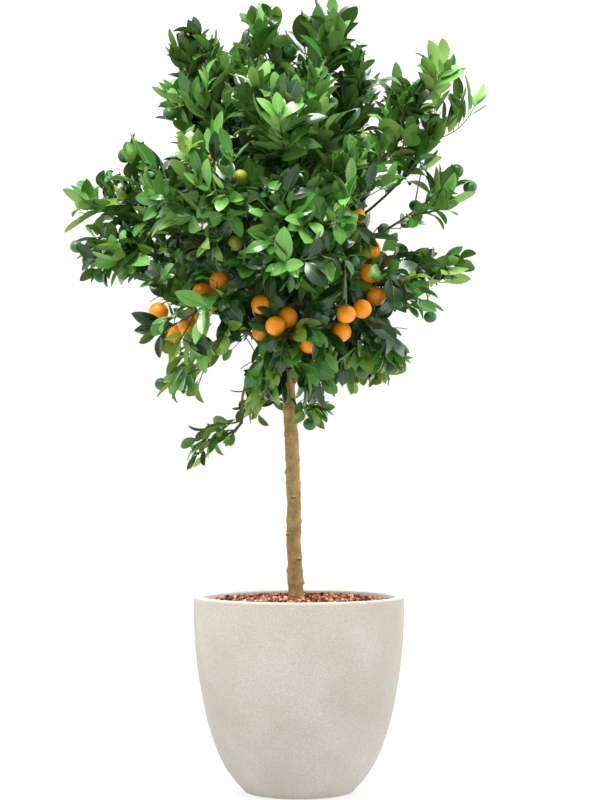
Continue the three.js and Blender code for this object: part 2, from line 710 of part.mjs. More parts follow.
function massSolid(mass) {
  const random = seeded(mass.seed);
  const end = mass.to.clone().addScaledVector(mass.axis, -LEAF.length * mass.leaf * STEM.shortOfEnd);
  const start = mass.from.clone().addScaledVector(mass.heading, mass.parent ? 0 : CLEARANCE);
  const elbow = start.clone().addScaledVector(mass.heading, STEM.elbow * start.distanceTo(end));
  mass.stem = new THREE.QuadraticBezierCurve3(start, elbow, end);
  const twigs = growTwigs(mass, random);
  const limbs = [
    { curve: mass.stem, alongCount: LEAF.alongStem, tipCount: LEAF.atStemTip },
    ...twigs.map(({ curve }) => ({ curve, alongCount: LEAF.alongTwig, tipCount: LEAF.atTwigTip })),
  ];
  const wood = [
    limbGeometry(mass.stem, stemRadius, STEM.sides, STEM.steps),
    ...twigs.map(({ curve, radius }) => limbGeometry(curve, tapered(radius, TWIG.tipRadius), TWIG.sides, 1)),
  ];
  const leaves = growLeaves(mass, limbs, random).map(({ corners }) => leafGeometry(corners));
  const fruit = mass.fruit.flatMap((one) => [stalkGeometry(one, limbs), fruitGeometry(one)]);
  let solid = wasm.Manifold.union([...wood, ...leaves, ...fruit].map(solidOf));
  if (mass.parent) solid = solid.subtract(mass.parent.grown());
  return largestPart(solid.asOriginal().simplify(SMALLEST_DETAIL));
}

// ---------------------------------------------------------------- the tree

const tree = new THREE.Group();
tree.name = "calamondin_orange_tree";

function place(name, geometry, finish) {
  const mesh = new THREE.Mesh(geometry, finish);
  mesh.name = name;
  tree.add(mesh);
}

place("planter", turned(planterProfile(), PLANTER.sides), MATERIALS.planter);
place("soil", turned(soilProfile(), PLANTER.sides), MATERIALS.soil);
place("granules", granulesGeometry(), MATERIALS.granules);
place("trunk", trunkGeometry(), MATERIALS.bark);

const trunk = { curve: trunkCurve, isTrunk: true, grown: () => solidOf(trunkGeometry(CUT_CLEARANCE)) };
noteLimb(trunkCurve, trunkRadius);

const masses = [];
for (const spec of MASSES) {
  const direction = polar(...spec.way);
  masses.push({
    ...spec,
    from: HUB.clone().addScaledVector(direction, START),
    to: HUB.clone().addScaledVector(direction, spec.reach),
    heading: direction.clone().addScaledVector(UP, spec.arch).normalize(),
  });
}
const strandFrom = new THREE.Vector3(...STRAND.from);
masses.push({
  ...STRAND,
  elbow: new THREE.Vector3(...STRAND.elbow),
  from: strandFrom,
  to: new THREE.Vector3(...STRAND.to),
  heading: strandFrom.clone().sub(new THREE.Vector3(...STRAND.elbow)).normalize(),
});
for (const spec of SPROUTS) {
  const from = trunkCurve.getPointAt(spec.trunkAt);
  const to = new THREE.Vector3(...spec.to);
  const heading = to.clone().sub(from).normalize().addScaledVector(UP, spec.arch).normalize();
  masses.push({ ...spec, from, to, heading, parent: trunk });
}
masses.forEach((mass, i) => {
  mass.seed = 101 + 17 * i;
  mass.phase = i;
  mass.leaf = mass.leaf ?? 1; // the size of its leaves
});

const boughs = new Map([["trunk", trunk]]);
for (const mass of masses.filter(({ on }) => on)) {
  const bough = makeBough(mass, boughs.get(mass.on), [...boughs.values()]);
  boughs.set(mass.name, bough);
  noteLimb(bough.curve, bough.radiusAt);
  place(bough.name, geometryOf(bough.solid), MATERIALS.twig);
}

giveSpaces(masses);
hangAllFruit(masses);
for (const mass of masses) {
  place(`foliage_${mass.name}`, geometryOf(massSolid(mass)), MATERIALS.leaf);
}

export default tree;
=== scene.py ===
"""Dresses the calamondin orange tree in its round stone-look planter.

The tree is grown here by the rule that its solids were grown by: the same boughs and masses of foliage, and
in each the same stem and twigs, carried on to finer shoots and to leaves at their true size. The rule works
in millimetres, and meshes are in metres. +Z is up, and -Y is the front of the tree.
"""

import functools
import json
import math
import random

import bmesh
import bpy
import numpy as np
from mathutils import Matrix, Vector, noise

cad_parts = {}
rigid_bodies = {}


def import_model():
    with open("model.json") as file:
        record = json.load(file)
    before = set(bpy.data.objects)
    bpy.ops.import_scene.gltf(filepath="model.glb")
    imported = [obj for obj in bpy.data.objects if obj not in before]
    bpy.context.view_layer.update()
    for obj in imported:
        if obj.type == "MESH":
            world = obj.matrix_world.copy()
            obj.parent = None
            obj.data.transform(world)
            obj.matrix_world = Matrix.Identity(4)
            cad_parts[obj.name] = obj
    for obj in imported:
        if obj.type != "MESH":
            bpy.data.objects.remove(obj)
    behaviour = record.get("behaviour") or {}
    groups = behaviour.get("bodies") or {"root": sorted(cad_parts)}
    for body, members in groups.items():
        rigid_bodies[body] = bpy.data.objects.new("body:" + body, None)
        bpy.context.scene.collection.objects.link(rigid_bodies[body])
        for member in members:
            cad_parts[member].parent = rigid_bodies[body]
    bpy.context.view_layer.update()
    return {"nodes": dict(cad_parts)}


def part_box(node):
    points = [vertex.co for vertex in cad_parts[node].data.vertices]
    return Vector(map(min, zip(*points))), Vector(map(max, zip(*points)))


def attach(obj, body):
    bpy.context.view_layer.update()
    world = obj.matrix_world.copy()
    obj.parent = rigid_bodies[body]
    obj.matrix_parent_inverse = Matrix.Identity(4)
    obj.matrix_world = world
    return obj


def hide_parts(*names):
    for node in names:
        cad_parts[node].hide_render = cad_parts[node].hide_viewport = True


bl_info = {
    "name": "Calamondin Orange Tree",
    "version": (1, 0, 0),
    "blender": (4, 5, 0),
    "location": "3D View > Sidebar > Citrus",
    "description": "Grows a calamondin orange tree in its planter round the solids of its construction",
    "category": "Object",
}

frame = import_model()
PLANTER_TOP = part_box("planter")[1]
SOIL_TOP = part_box("soil")[1]

BODY = "root"
MM = 0.001
UP = np.array([0.0, 0.0, 1.0])
GOLDEN_ANGLE = math.radians(137.5)

# ---------------------------------------------------------------- how the tree grows, in millimetres

TRUNK_LINE = [(-3, 303), (-8, 400), (-9, 500), (-13, 600), (-20, 700)]  # x and height of the stem's middle
TRUNK_RADIUS = 11
TRUNK_TAPER = 1.9
TRUNK_FLARE = 1.4
FLARE_HEIGHT = 40

BOUGH_BASE = 7.5
BOUGH_SIDE = 5.2
BOUGH_TIP = 3.4
BOUGH_SPREAD = 0.9
BOUGH_PULL = 0.36
LEADER_BASE = TRUNK_RADIUS - 1  # of the bough that carries the trunk on
LIMB_SAMPLE = 6  # between the points that stand for a trunk or bough when something must keep clear of it

STEM_ROOT = 3.0
STEM_TIP = 1.6
STEM_SHORT_OF_END = 0.97  # of a large leaf's reach, which the stem leaves free at the end of its mass
STEM_ELBOW = 0.45
TWIG_OF_STEM = 0.62
TWIGS_PER_STEM = 6
TWIG_FIRST, TWIG_LAST = 0.1, 0.98
TWIG_ANGLES = (64, 38)
TWIG_WOBBLE = 12
TWIG_STAGGER = 0.4  # of the twigs' spacing
TWIG_TURN_WOBBLE = 0.6
TWIG_SHORTEST, TWIG_LONGEST = 14, 125
TWIG_LIFT = 0.12
TWIG_SAG = 0.08
TWIG_MARGIN = 3
TWIG_TIP = 1.2
SPRAY_LENGTH = 94  # of the solids' large leaves, which settles how far their stems and twigs reach
TWIG_END_ROOM = 0.35

SHOOT_SPACING = 15
SHOOT_SHORTEST, SHOOT_LONGEST = 12, 78
SHOOT_RADIUS = 1.05
SHOOT_TIP = 0.7
SHOOT_FIRST, SHOOT_LAST = 0.08, 0.97
SHOOT_STAGGER = (0.2, 0.8)
SHOOT_ANGLES = (38, 62)
SHOOT_TURN_WOBBLE = 0.4
SHOOT_END_ROOM = 0.5
SHOOT_MARGIN = 3
SHOOT_CLEARANCE = 2
SHOOT_BOW = 0.55
SHOOT_LIFTS = (-0.35, 0.7)  # low and high in the crown
END_LIFTS = (-0.3, 0.3)  # the same for the shoot that carries a limb on beyond its end
LIFT_CHANCE = 0.12
LONG_SHOOT, LONG_SHARE = 22, 0.3  # so far some shoots reach beyond the others, and how many of them do
LONG_FROM = 0.6  # they stand beyond this share of their limb
OLDER, GREEN = 0, 1  # kinds of limb

SPUR_SPACING = 17
SPUR_FIRST, SPUR_LAST = 0.12, 0.98
SPUR_ANGLES = (40, 75)
SPUR_LENGTHS = (22, 50)
SPUR_SAG = 2
SPUR_START, SPUR_CLEARANCE = 3, 1  # a spur is kept clear of boughs from this far outside its own one's skin
CROWN_FOOT = 672  # no spur or its leaf reaches lower than this

LEAF_GAP = 8.5  # the middles of two leaves lie at least this far apart
LEAF_SPACING = 10.5  # along a shoot
LEAF_ATTEMPTS = 5
BLADE_PROBES = (0.3, 0.55, 0.8, 1)  # shares of a leaf's reach that are tried for room
BLADE_START = 8  # from here on a leaf keeps clear of trunk and boughs
LEAF_MARGIN = 3
LEAF_LIFTS = (-0.55, 0.55)  # low and high in the crown
LEAF_LIFT_CHANCE = 0.25
FACE_OUT, FACE_UP, FACE_ALONG, FACE_CHANCE = 0.45, 0.5, 0.6, 0.6  # which way a leaf turns its upper side
# Leaves at a limb's end, close behind it and along its side: their angles to the limb and their sizes
END_LEAF = ((4, 20), (0.6, 0.95))
TIP_LEAVES = ((28, 54), (0.55, 0.95))
SIDE_LEAVES = ((38, 62), (0.68, 1.28))
LEAF_LAST = 0.99
TIP_COUNT, TIP_SPACING, TIP_FROM = 3, 6.5, 0.2
TIP_LENGTH = 18
SIDE_FROM = (0.3, 0.16)  # by the kind of limb

STALK_RADII = (1.1, 1.4)
STALK_TRIES = 13
STALK_FALL = 16  # so much further off a point counts when it lies below the fruit's middle
STALK_UP = 0.9
STALK_DEPTH = 0.97
STALK_ARCH = 4
LEAFY_STALK = 32  # a fruit's stalk that is longer than this bears leaves
FRUIT_MARGIN = 3
SHELTER_LEAVES, SHELTER_ATTEMPTS = 2, 12
SHELTER_ASIDE, SHELTER_BEFORE, SHELTER_UP = (2, 15), (21, 28), (-14, 6)  # where their tips hang by the fruit
SHELTER_SIZES = (0.8, 1.1)
SHELTER_TILT = 0.5

LEAF_SHAPES = 6
LEAF_OVERHANG = 12  # how far a leaf's tip may reach beyond its mass
LOW, HIGH = 620, 1130  # leaves and shoots droop at the first of these heights and rise at the second

HUB = np.array([-15.0, 0.0, 850.0])
START = 125
EGG_POWER = 2.6  # how full the shape of a mass is
PROBE_STEP, PROBE_FURTHEST = 4, 400

# name: azimuth and elevation in degrees, reach, half width, arch, and what its bough grows from and where
MASSES = {
    "top": (350, 82, 474, 112, 0, "trunk", 1),
    "top_left": (190, 68, 482, 98, -0.1, "top", 0.35),
    "top_back": (120, 74, 498, 108, 0, "top", 0.72),
    "top_right": (2, 71, 426, 92, -0.1, "top", 0.6),
    "front_high": (268, 52, 400, 121, 0, "top", 0.5),
    "right_upper": (3, 45.5, 468, 76, -0.25, "trunk", 0.94),
    "right_shoot": (350, 54, 474, 84, -0.2, "right_upper", 0.8),
    "right_middle": (352, 30, 352, 70, -0.2, "right_upper", 0.62),
    "right_lower": (350, 7, 326, 77, 0.2, "right_upper", 0.45),
    "right_low": (338, -34, 252, 78, 0.4, "right_upper", 0.28),
    "left_tip": (183, 21.6, 410, 106, 0.2, "trunk", 0.9),
    "left_upper": (194, 36, 370, 80, -0.1, "left_tip", 0.85),
    "left_lower": (186, 10, 372, 86, 0.1, "left_tip", 0.7),
    "upper_left": (165, 59, 402, 102, -0.1, "left_tip", 0.5),
    "left_hanging": (205, -43, 300, 76, 0.55, "left_tip", 0.35),
    "front_left": (240, 28, 365, 121, 0, "trunk", 0.86),
    "front": (274, 13, 345, 110, 0, "front_left", 0.7),
    "front_right": (297, 27, 330, 108, 0, "front_left", 0.55),
    "front_low_left": (228, -12, 320, 106, 0.3, "front_left", 0.75),
    "front_low": (264, -38, 285, 104, 0.3, "front_left", 0.4),
    "front_low_right": (325, -14, 276, 82, 0.3, "front_right", 0.6),
    "back": (80, 46, 405, 129, 0, "trunk", 0.97),
    "back_left": (130, 22, 385, 127, 0, "back", 0.6),
    "back_right": (63, 22, 365, 121, 0, "back", 0.75),
    "back_low_left": (118, -27, 285, 100, 0.3, "back", 0.3),
    "back_low_right": (55, -18, 278, 114, 0.3, "back", 0.45),
}
STRAND = {
    "on": "left_tip",
    "at": 0.22,
    "elbow": (-112, -22, 730),
    "from": (-94, -24, 630),
    "to": (-202, -30, 544),
    "width": 48,
    "radii": (2.6, 1.8),
}
# name: how far up the trunk it sprouts, where it ends, half width, arch
SPROUTS = {
    "sprout_front": (0.9, (26, -60, 602), 60, 0.35),
    "sprout_left": (0.87, (-132, 36, 658), 50, 0.5),
}
SMALL_LEAF = 0.72  # of the leaves on the strand and the sprouts, against the others

# Masses thinner or fuller than others: how much finer growth they have, and in what share of their width
FINER_GROWTH = {
    "top_left": (1, 0.85),
    "right_upper": (0.9, 0.85),
    "right_middle": (0.7, 0.65),
    "right_lower": (0.7, 0.65),
    "right_low": (1, 0.85),
    "left_lower": (1, 0.8),
    "left_upper": (1, 0.75),
    "left_hanging": (0.45, 0.8),
    "back_low_left": (0.6, 0.8),
    "strand": (0.3, 0.7),
    "front_low_left": (0.75, 0.95),
    "sprout_front": (1.8, 1),
    "sprout_left": (0.8, 1),
}
# Open places in the crown, seen from the front: middle across and up, half the width and half the height
SKY = [
    (288, 1104, 30, 30),
    (260, 1082, 26, 20),
    (190, 1224, 20, 26),
    (145, 958, 30, 32),
    (182, 993, 34, 24),
    (132, 990, 28, 22),
    (237, 930, 38, 18),
    (196, 916, 16, 12),
    (270, 835, 42, 14),
    (192, 748, 18, 20),
    (-232, 1080, 30, 16),
    (-142, 777, 15, 28),
    (-88, 742, 27, 30),
    (-140, 690, 30, 30),
    (-95, 676, 15, 24),
    (-48, 632, 24, 12),
    (-118, 1284, 26, 24),
    (-14, 1302, 12, 20),
    (-157, 1300, 20, 20),
    (-275, 836, 32, 18),
    (165, 786, 20, 20),
    (-318, 1062, 26, 18),
]
# Open places in what grows before the stem, so that its top shows
FRONT_OPEN = [(-14, 668, 17, 44)]
EYE = (3500, 551)  # how far before the stem, and how high, one stands to see through them

# The leaves of each of these pieces stand for the masses named after it.
LEAF_PIECES = {
    "leaves_upper": ("top", "top_left", "top_back", "top_right", "front_high", "right_shoot"),
    "leaves_left": ("left_tip", "left_upper", "left_lower", "upper_left", "left_hanging", "strand"),
    "leaves_right": ("right_upper", "right_middle", "right_lower", "right_low", "front_low_right"),
    "leaves_front": ("front_left", "front", "front_right", "front_low_left", "front_low", "sprout_front"),
    "leaves_back": ("back", "back_left", "back_right", "back_low_left", "back_low_right", "sprout_left"),
}

# Fruit by how it hangs: its radius, and the share of that radius that no leaf lies before
FRUIT_KINDS = {
    "ripe": (16.5, 1.25),
    "peeping": (16.5, 0.6),
    "sheltered": (16.5, 0),
    "turning": (12.5, 1.5),
    "green": (11.5, 0),
}
# Where fruit hangs: ripe in bunches low in the crown, open or sheltered, and unripe singly all over
FRUIT = {
    "ripe": [
        (-231, -70, 796),
        (-181, -84, 772),
        (-37, -222, 763),
        (-17, -196, 778),
        (75, -205, 783),
        (101, -180, 793),
        (125, -140, 816),
        (-84, 215, 800),
        (60, 200, 780),
        (86, 206, 800),
        (-186, 150, 806),
        (170, 110, 850),
    ],
    "peeping": [
        (-156, -150, 822),
        (-127, -170, 838),
        (-39, -205, 891),
        (-142, -130, 1030),
        (15, -204, 737),
        (68, -172, 756),
    ],
    "sheltered": [
        (-208, -60, 762),
        (-61, -205, 798),
        (-59, -160, 758),
        (-9, -172, 750),
        (114, -130, 853),
        (117, -120, 894),
        (53, -170, 855),
        (92, -110, 950),
        (36, -140, 822),
        (-118, -150, 918),
        (-136, -130, 980),
        (-52, 222, 812),
        (44, 214, 810),
        (-156, 160, 822),
        (20, 230, 750),
        (-110, 200, 880),
    ],
    "turning": [
        (-93, -205, 1001),
        (-100, -208, 895),
        (120, 190, 780),
    ],
    "green": [
        (29, -20, 1290),
        (-118, -20, 1214),
        (113, 10, 1191),
        (-14, -190, 1090),
        (264, -20, 1036),
        (287, -10, 1010),
        (-219, -60, 960),
        (-291, -30, 1060),
        (-373, -10, 910),
        (279, -20, 877),
        (106, -60, 700),
        (18, -30, 612),
        (87, -165, 870),
        (218, -40, 790),
        (137, -120, 773),
        (104, -90, 696),
        (41, -176, 790),
        (-14, 40, 1251),
        (-215, -40, 1129),
        (37, -120, 1184),
        (53, -150, 1127),
        (105, -130, 1064),
        (-332, -20, 859),
        (-74, 60, 1290),
        (133, -90, 740),
        (-228, -40, 678),
        (-160, 190, 960),
        (150, 180, 960),
        (40, 230, 1080),
        (90, 180, 1100),
        (-90, 170, 1120),
        (-60, 110, 1240),
        (200, 80, 990),
        (-250, 90, 1000),
    ],
}


def vec(*numbers):
    return np.array(numbers, float)


def unit(vector):
    return vector / np.linalg.norm(vector)


def mix(a, b, share):
    return a + (b - a) * share


def source_chance(seed):
    """The random numbers (mulberry32) that the solids were grown by, so that stems and twigs fall alike."""
    mask = 0xFFFFFFFF
    state = seed & mask

    def draw():
        nonlocal state
        state = (state + 0x6D2B79F5) & mask
        mixed = ((state ^ (state >> 15)) * (state | 1)) & mask
        mixed = ((mixed + (((mixed ^ (mixed >> 7)) * (mixed | 61)) & mask)) ^ mixed) & mask
        return ((mixed ^ (mixed >> 14)) & mask) / 4294967296

    return draw


class Limb:
    """A limb's middle line as closely spaced points, read by the share of its length, and its radius."""

    def __init__(self, points, radius_from, radius_to, kind=OLDER):
        self.points = np.array(points, float)
        self.lengths = np.concatenate([[0], np.cumsum(np.linalg.norm(np.diff(self.points, axis=0), axis=1))])
        self.length = self.lengths[-1]
        self.radii = (radius_from, radius_to)
        self.kind = kind

    def at(self, share):
        return np.array([np.interp(share * self.length, self.lengths, self.points[:, i]) for i in range(3)])

    def heading(self, share):
        step = 0.01
        return unit(self.at(min(1, share + step)) - self.at(max(0, share - step)))

    def radius(self, share):
        return mix(*self.radii, share)

    def samples(self, count):
        return np.array([self.at(i / (count - 1)) for i in range(count)])


def bezier(*corners, count=40):
    """Points of the Bezier curve with these three or four corners."""
    points = []
    for t in np.linspace(0, 1, count):
        row = list(corners)
        while len(row) > 1:
            row = [mix(a, b, t) for a, b in zip(row, row[1:])]
        points.append(row[0])
    return points


def trunk_points():
    """A smooth line through the stem's named points."""
    line = [vec(x, 0, z) for x, z in TRUNK_LINE]
    ends = [2 * line[0] - line[1], *line, 2 * line[-1] - line[-2]]
    points = []
    for a, b, c, d in zip(ends, ends[1:], ends[2:], ends[3:]):
        for t in np.linspace(0, 1, 12, endpoint=False):
            point = 2 * b + (c - a) * t
            point = point + (2 * a - 5 * b + 4 * c - d) * t**2
            point = point + (3 * b - a - 3 * c + d) * t**3
            points.append(0.5 * point)
    return [*points, line[-1]]


def trunk_radius(share):
    height = share * (TRUNK_LINE[-1][1] - TRUNK_LINE[0][1])
    return TRUNK_RADIUS + TRUNK_TAPER * (1 - share) + TRUNK_FLARE * math.exp(-height / FLARE_HEIGHT)


def polar(azimuth, elevation):
    a, e = math.radians(azimuth), math.radians(elevation)
    return vec(math.cos(a) * math.cos(e), math.sin(a) * math.cos(e), math.sin(e))


class Mass:
    """A mass of foliage and the space that it keeps to."""

    def __init__(self, name, start, end, heading, width, leaf, order):
        self.name = name
        self.start, self.end, self.heading = start, end, heading
        self.width, self.leaf = width, leaf
        self.seed, self.phase = 101 + 17 * order, order
        self.fullness, self.slimness = FINER_GROWTH.get(name, (1, 1))
        self.half = np.linalg.norm(end - start) / 2
        self.axis = unit(end - start)
        self.centre = (start + end) / 2
        self.normals, self.limits = [], []
        self.fruit = []

    def close_borders(self):
        self.normals, self.limits = np.array(self.normals), np.array(self.limits)

    def in_borders(self, point, margin):
        return bool(np.all(self.normals @ point + margin < self.limits))

    def in_egg(self, point, margin, slimness=1):
        offset = point - self.centre
        along = abs(offset @ self.axis)
        across = math.sqrt(max(0, offset @ offset - along * along))
        along_share = along / (self.half - margin)
        across_share = across / (self.width * slimness - margin)
        return along_share**EGG_POWER + across_share**EGG_POWER <= 1

    def holds(self, point, margin):
        return self.in_egg(point, margin) and self.in_borders(point, margin)

    def welcomes(self, point, margin):
        """Whether finer growth may reach a point."""
        inside = self.in_egg(point, margin, self.slimness) and self.in_borders(point, margin)
        return inside and not in_sky(point)

    def room(self, point, heading):
        """How far one can go from a point in a direction before leaving the space."""
        gone = 0
        while gone < PROBE_FURTHEST and self.holds(point + heading * (gone + PROBE_STEP), 1):
            gone += PROBE_STEP
        return gone


def in_sky(point):
    """Whether a point lies in an open place, seen from the front."""
    nearer = EYE[0] / (EYE[0] + point[1])
    x, z = point[0] * nearer, EYE[1] + (point[2] - EYE[1]) * nearer
    places = [*SKY, *FRONT_OPEN] if point[1] < 0 else SKY
    return any(((x - middle) / wide) ** 2 + ((z - up) / high) ** 2 < 1 for middle, up, wide, high in places)


def nearest_points(a, b):
    """The points of the axes of two masses that lie nearest to each other."""
    along_a, along_b, between = a.end - a.start, b.end - b.start, a.start - b.start
    aa, bb, ab = along_a @ along_a, along_b @ along_b, along_a @ along_b
    wa, wb = along_a @ between, along_b @ between
    s = np.clip((ab * wb - wa * bb) / max(aa * bb - ab * ab, 1e-9), 0, 1)
    t = np.clip((ab * s + wb) / bb, 0, 1)
    s = np.clip((ab * t - wa) / aa, 0, 1)
    return a.start + along_a * s, b.start + along_b * t


def give_borders(masses):
    for i, mass in enumerate(masses):
        for other in masses[i + 1 :]:
            mine, theirs = nearest_points(mass, other)
            middle = mix(mine, theirs, mass.width / (mass.width + other.width))
            way = unit(theirs - mine)
            mass.normals.append(way)
            mass.limits.append(way @ middle)
            other.normals.append(-way)
            other.limits.append(-way @ middle)
    for mass in masses:
        mass.close_borders()


def make_masses(trunk):
    masses = []
    for name, (azimuth, elevation, reach, width, arch, _, _) in MASSES.items():
        way = polar(azimuth, elevation)
        heading = unit(way + UP * arch)
        masses.append(Mass(name, HUB + way * START, HUB + way * reach, heading, width, 1, len(masses)))
    start = vec(*STRAND["from"])
    heading = unit(start - vec(*STRAND["elbow"]))
    end = vec(*STRAND["to"])
    masses.append(Mass("strand", start, end, heading, STRAND["width"], SMALL_LEAF, len(masses)))
    for name, (along, to, width, arch) in SPROUTS.items():
        start, end = trunk.at(along), vec(*to)
        heading = unit(unit(end - start) + UP * arch)
        masses.append(Mass(name, start, end, heading, width, SMALL_LEAF, len(masses)))
    give_borders(masses)
    return masses


def set_out(parent, along, tip):
    """The way a bough sets out: between its parent's own direction and straight across towards its tip."""
    tangent = parent.heading(along)
    across = tip - parent.at(along)
    across = unit(across - tangent * (across @ tangent))
    return unit(tangent + across * BOUGH_SPREAD)


def make_bough(mass, parent, along, elbow, from_trunk):
    root = parent.at(along)
    leader = along == 1
    pull = BOUGH_PULL * np.linalg.norm(mass.start - root)
    way = UP if leader else set_out(parent, along, mass.start if elbow is None else elbow)
    points = bezier(root, root + way * pull, mass.start - mass.heading * pull, mass.start)
    if mass.name == "strand":
        return Limb(points, *STRAND["radii"])
    base = LEADER_BASE if leader else BOUGH_BASE if from_trunk else BOUGH_SIDE
    return Limb(points, base, BOUGH_TIP)


def leaving(tangent, turn, angle):
    """A direction that leaves a limb at an angle, turned round it."""
    across = np.cross(UP, tangent)
    across = vec(1, 0, 0) if across @ across < 0.01 else unit(across)
    across = across * math.cos(turn) + np.cross(tangent, across) * math.sin(turn)
    return unit(tangent * math.cos(angle) + across * math.sin(angle))


class Clearance:
    """The trunk and boughs as points with a radius, for keeping twigs and leaves clear of them."""

    def __init__(self, trunk, boughs):
        points, radii = [], []
        for limb, radius_at in [(trunk, trunk_radius), *[(b, b.radius) for b in boughs]]:
            count = math.ceil(limb.length / LIMB_SAMPLE)
            for i in range(count + 1):
                points.append(limb.at(i / count))
                radii.append(radius_at(i / count))
        self.points, self.radii = np.array(points), np.array(radii)

    def free(self, start, end, margin):
        line = end - start
        share = np.clip((self.points - start) @ line / max(line @ line, 1e-9), 0, 1)
        gaps = np.linalg.norm(self.points - (start + share[:, None] * line), axis=1)
        return bool(np.all(gaps > self.radii + margin))


def grow_stem(mass):
    start = mass.start
    end = mass.end - mass.axis * SPRAY_LENGTH * mass.leaf * STEM_SHORT_OF_END
    elbow = start + mass.heading * STEM_ELBOW * np.linalg.norm(end - start)
    return Limb(bezier(start, elbow, end, count=20), STEM_ROOT, STEM_TIP)


def grow_twigs(mass, stem, clearance):
    """The twigs of the solids, each bowed a little between its own two ends."""
    draw = source_chance(mass.seed)
    twigs = []
    for i in range(TWIGS_PER_STEM):
        along = mix(TWIG_FIRST, TWIG_LAST, (i + 0.5 + TWIG_STAGGER * (draw() - 0.5)) / TWIGS_PER_STEM)
        turn = i * GOLDEN_ANGLE + mass.phase + TWIG_TURN_WOBBLE * (draw() - 0.5)
        angle = math.radians(mix(*TWIG_ANGLES, along) + TWIG_WOBBLE * (draw() - 0.5))
        root = stem.at(along)
        heading = leaving(stem.heading(along), turn, angle)
        room = mass.room(root, heading) - SPRAY_LENGTH * mass.leaf * TWIG_END_ROOM
        length = min(TWIG_LONGEST, room)
        if length < TWIG_SHORTEST:
            continue
        end = root + heading * length + UP * length * TWIG_LIFT
        if not mass.holds(end, TWIG_MARGIN) or not clearance.free(root, end, TWIG_MARGIN):
            continue
        if in_sky(end) or in_sky((root + end) / 2):
            continue
        bow = (root + end) / 2 - UP * length * TWIG_SAG
        radius = stem.radius(along) * TWIG_OF_STEM
        twigs.append(Limb(bezier(root, bow, end, count=8), radius, TWIG_TIP))
    return twigs


def rising(point):
    """How strongly growth rises here: 0 low in the crown, 1 high in it."""
    return min(1, max(0, (point[2] - LOW) / (HIGH - LOW)))


def green_shoot(root, bow, end):
    return Limb(bezier(root, bow, end, count=6), SHOOT_RADIUS, SHOOT_TIP, kind=GREEN)


def grow_shoots(mass, limbs, clearance, reach, chance):
    """Finer shoots on stem and twigs, which are green and carry most of the leaves."""
    shoots = []
    for limb in limbs:
        root, heading = limb.at(1), limb.heading(1)
        way = unit(heading + UP * mix(*END_LIFTS, rising(root)))
        end = root + way * (SPRAY_LENGTH * mass.leaf - reach)
        if mass.welcomes(end, SHOOT_MARGIN) and clearance.free(root, end, SHOOT_CLEARANCE):
            bow = root + heading * np.linalg.norm(end - root) * 0.5
            shoots.append(green_shoot(root, bow, end))
        count = round(limb.length * mass.fullness / (SHOOT_SPACING * mass.leaf))
        for i in range(count):
            along = mix(SHOOT_FIRST, SHOOT_LAST, (i + chance.uniform(*SHOOT_STAGGER)) / count)
            root = limb.at(along)
            turn = i * GOLDEN_ANGLE + mass.phase + chance.uniform(-SHOOT_TURN_WOBBLE, SHOOT_TURN_WOBBLE)
            heading = leaving(limb.heading(along), turn, math.radians(chance.uniform(*SHOOT_ANGLES)))
            may_be_long = mass.leaf == 1 and along > LONG_FROM
            out = LONG_SHOOT if may_be_long and chance.random() < LONG_SHARE else 0
            room = mass.room(root, heading) - SHOOT_END_ROOM * reach + out
            length = min((SHOOT_LONGEST + out) * mass.leaf * chance.uniform(0.5, 1), room)
            if length < SHOOT_SHORTEST:
                continue
            lift = mix(*SHOOT_LIFTS, rising(root)) + chance.uniform(-LIFT_CHANCE, LIFT_CHANCE)
            end = root + unit(heading + UP * lift) * length
            bow = root + heading * length * SHOOT_BOW
            if mass.welcomes(end, SHOOT_MARGIN - out) and clearance.free(root, end, SHOOT_CLEARANCE):
                shoots.append(green_shoot(root, bow, end))
    return shoots


def inside_crown(point, _margin):
    """Whether a leaf of a spur may reach a point."""
    return point[2] > CROWN_FOOT and not in_sky(point)


def grow_spurs(bough, clearance, chance):
    """Short leafy shoots on a bough itself, which fill the inside of the crown."""
    spurs = []
    count = round(bough.length * (SPUR_LAST - SPUR_FIRST) / SPUR_SPACING)
    for i in range(count):
        along = mix(SPUR_FIRST, SPUR_LAST, (i + chance.random()) / count)
        angle = math.radians(chance.uniform(*SPUR_ANGLES))
        way = leaving(bough.heading(along), i * GOLDEN_ANGLE, angle)
        root = bough.at(along)
        end = root + way * chance.uniform(*SPUR_LENGTHS)
        start = root + way * (bough.radius(along) + SPUR_START)
        if inside_crown(end, 0) and clearance.free(start, end, SPUR_CLEARANCE):
            bow = mix(root, end, 0.5) - UP * SPUR_SAG
            spurs.append(Limb([root, bow, end], SHOOT_RADIUS, SHOOT_TIP, kind=GREEN))
    return spurs


class Spacing:
    """Keeps the middles of leaves apart."""

    def __init__(self, gap):
        self.gap = gap
        self.cells = {}

    def take(self, point):
        cell = tuple(int(v // self.gap) for v in point)
        near = [
            other
            for x in (-1, 0, 1)
            for y in (-1, 0, 1)
            for z in (-1, 0, 1)
            for other in self.cells.get((cell[0] + x, cell[1] + y, cell[2] + z), ())
        ]
        if any(np.linalg.norm(point - other) < self.gap for other in near):
            return False
        self.cells.setdefault(cell, []).append(point)
        return True


# Leaf colours by spray: name, upper side, underside, and how often in the depth, on the outside and low down
LEAF_KINDS = [
    ("deep", "133a0a", "4a6e2a", (5.5, 2.9, 2.2)),
    ("full", "387420", "669440", (3.4, 3.4, 2)),
    ("fresh", "66a044", "8cb45c", (1, 2.6, 1)),
    # The fourth kind, most common low down, is painted light: its colour stands in for light shining through
    # the lower leaves.
    ("olive_backlit", "6c922c", "8aa642", (0.8, 0.25, 4.2)),
    ("young", "8cbc40", "a8cc5c", (0.04, 0.14, 0.1)),
]


DEPTH, OUTSIDE, LOW_DOWN = range(3)
CROWN_REACH = vec(330, 290, 400)  # from the hub across, forwards and up
OUTSIDE_FROM = 0.62  # of that reach, squared
LOW_CROWN = 760


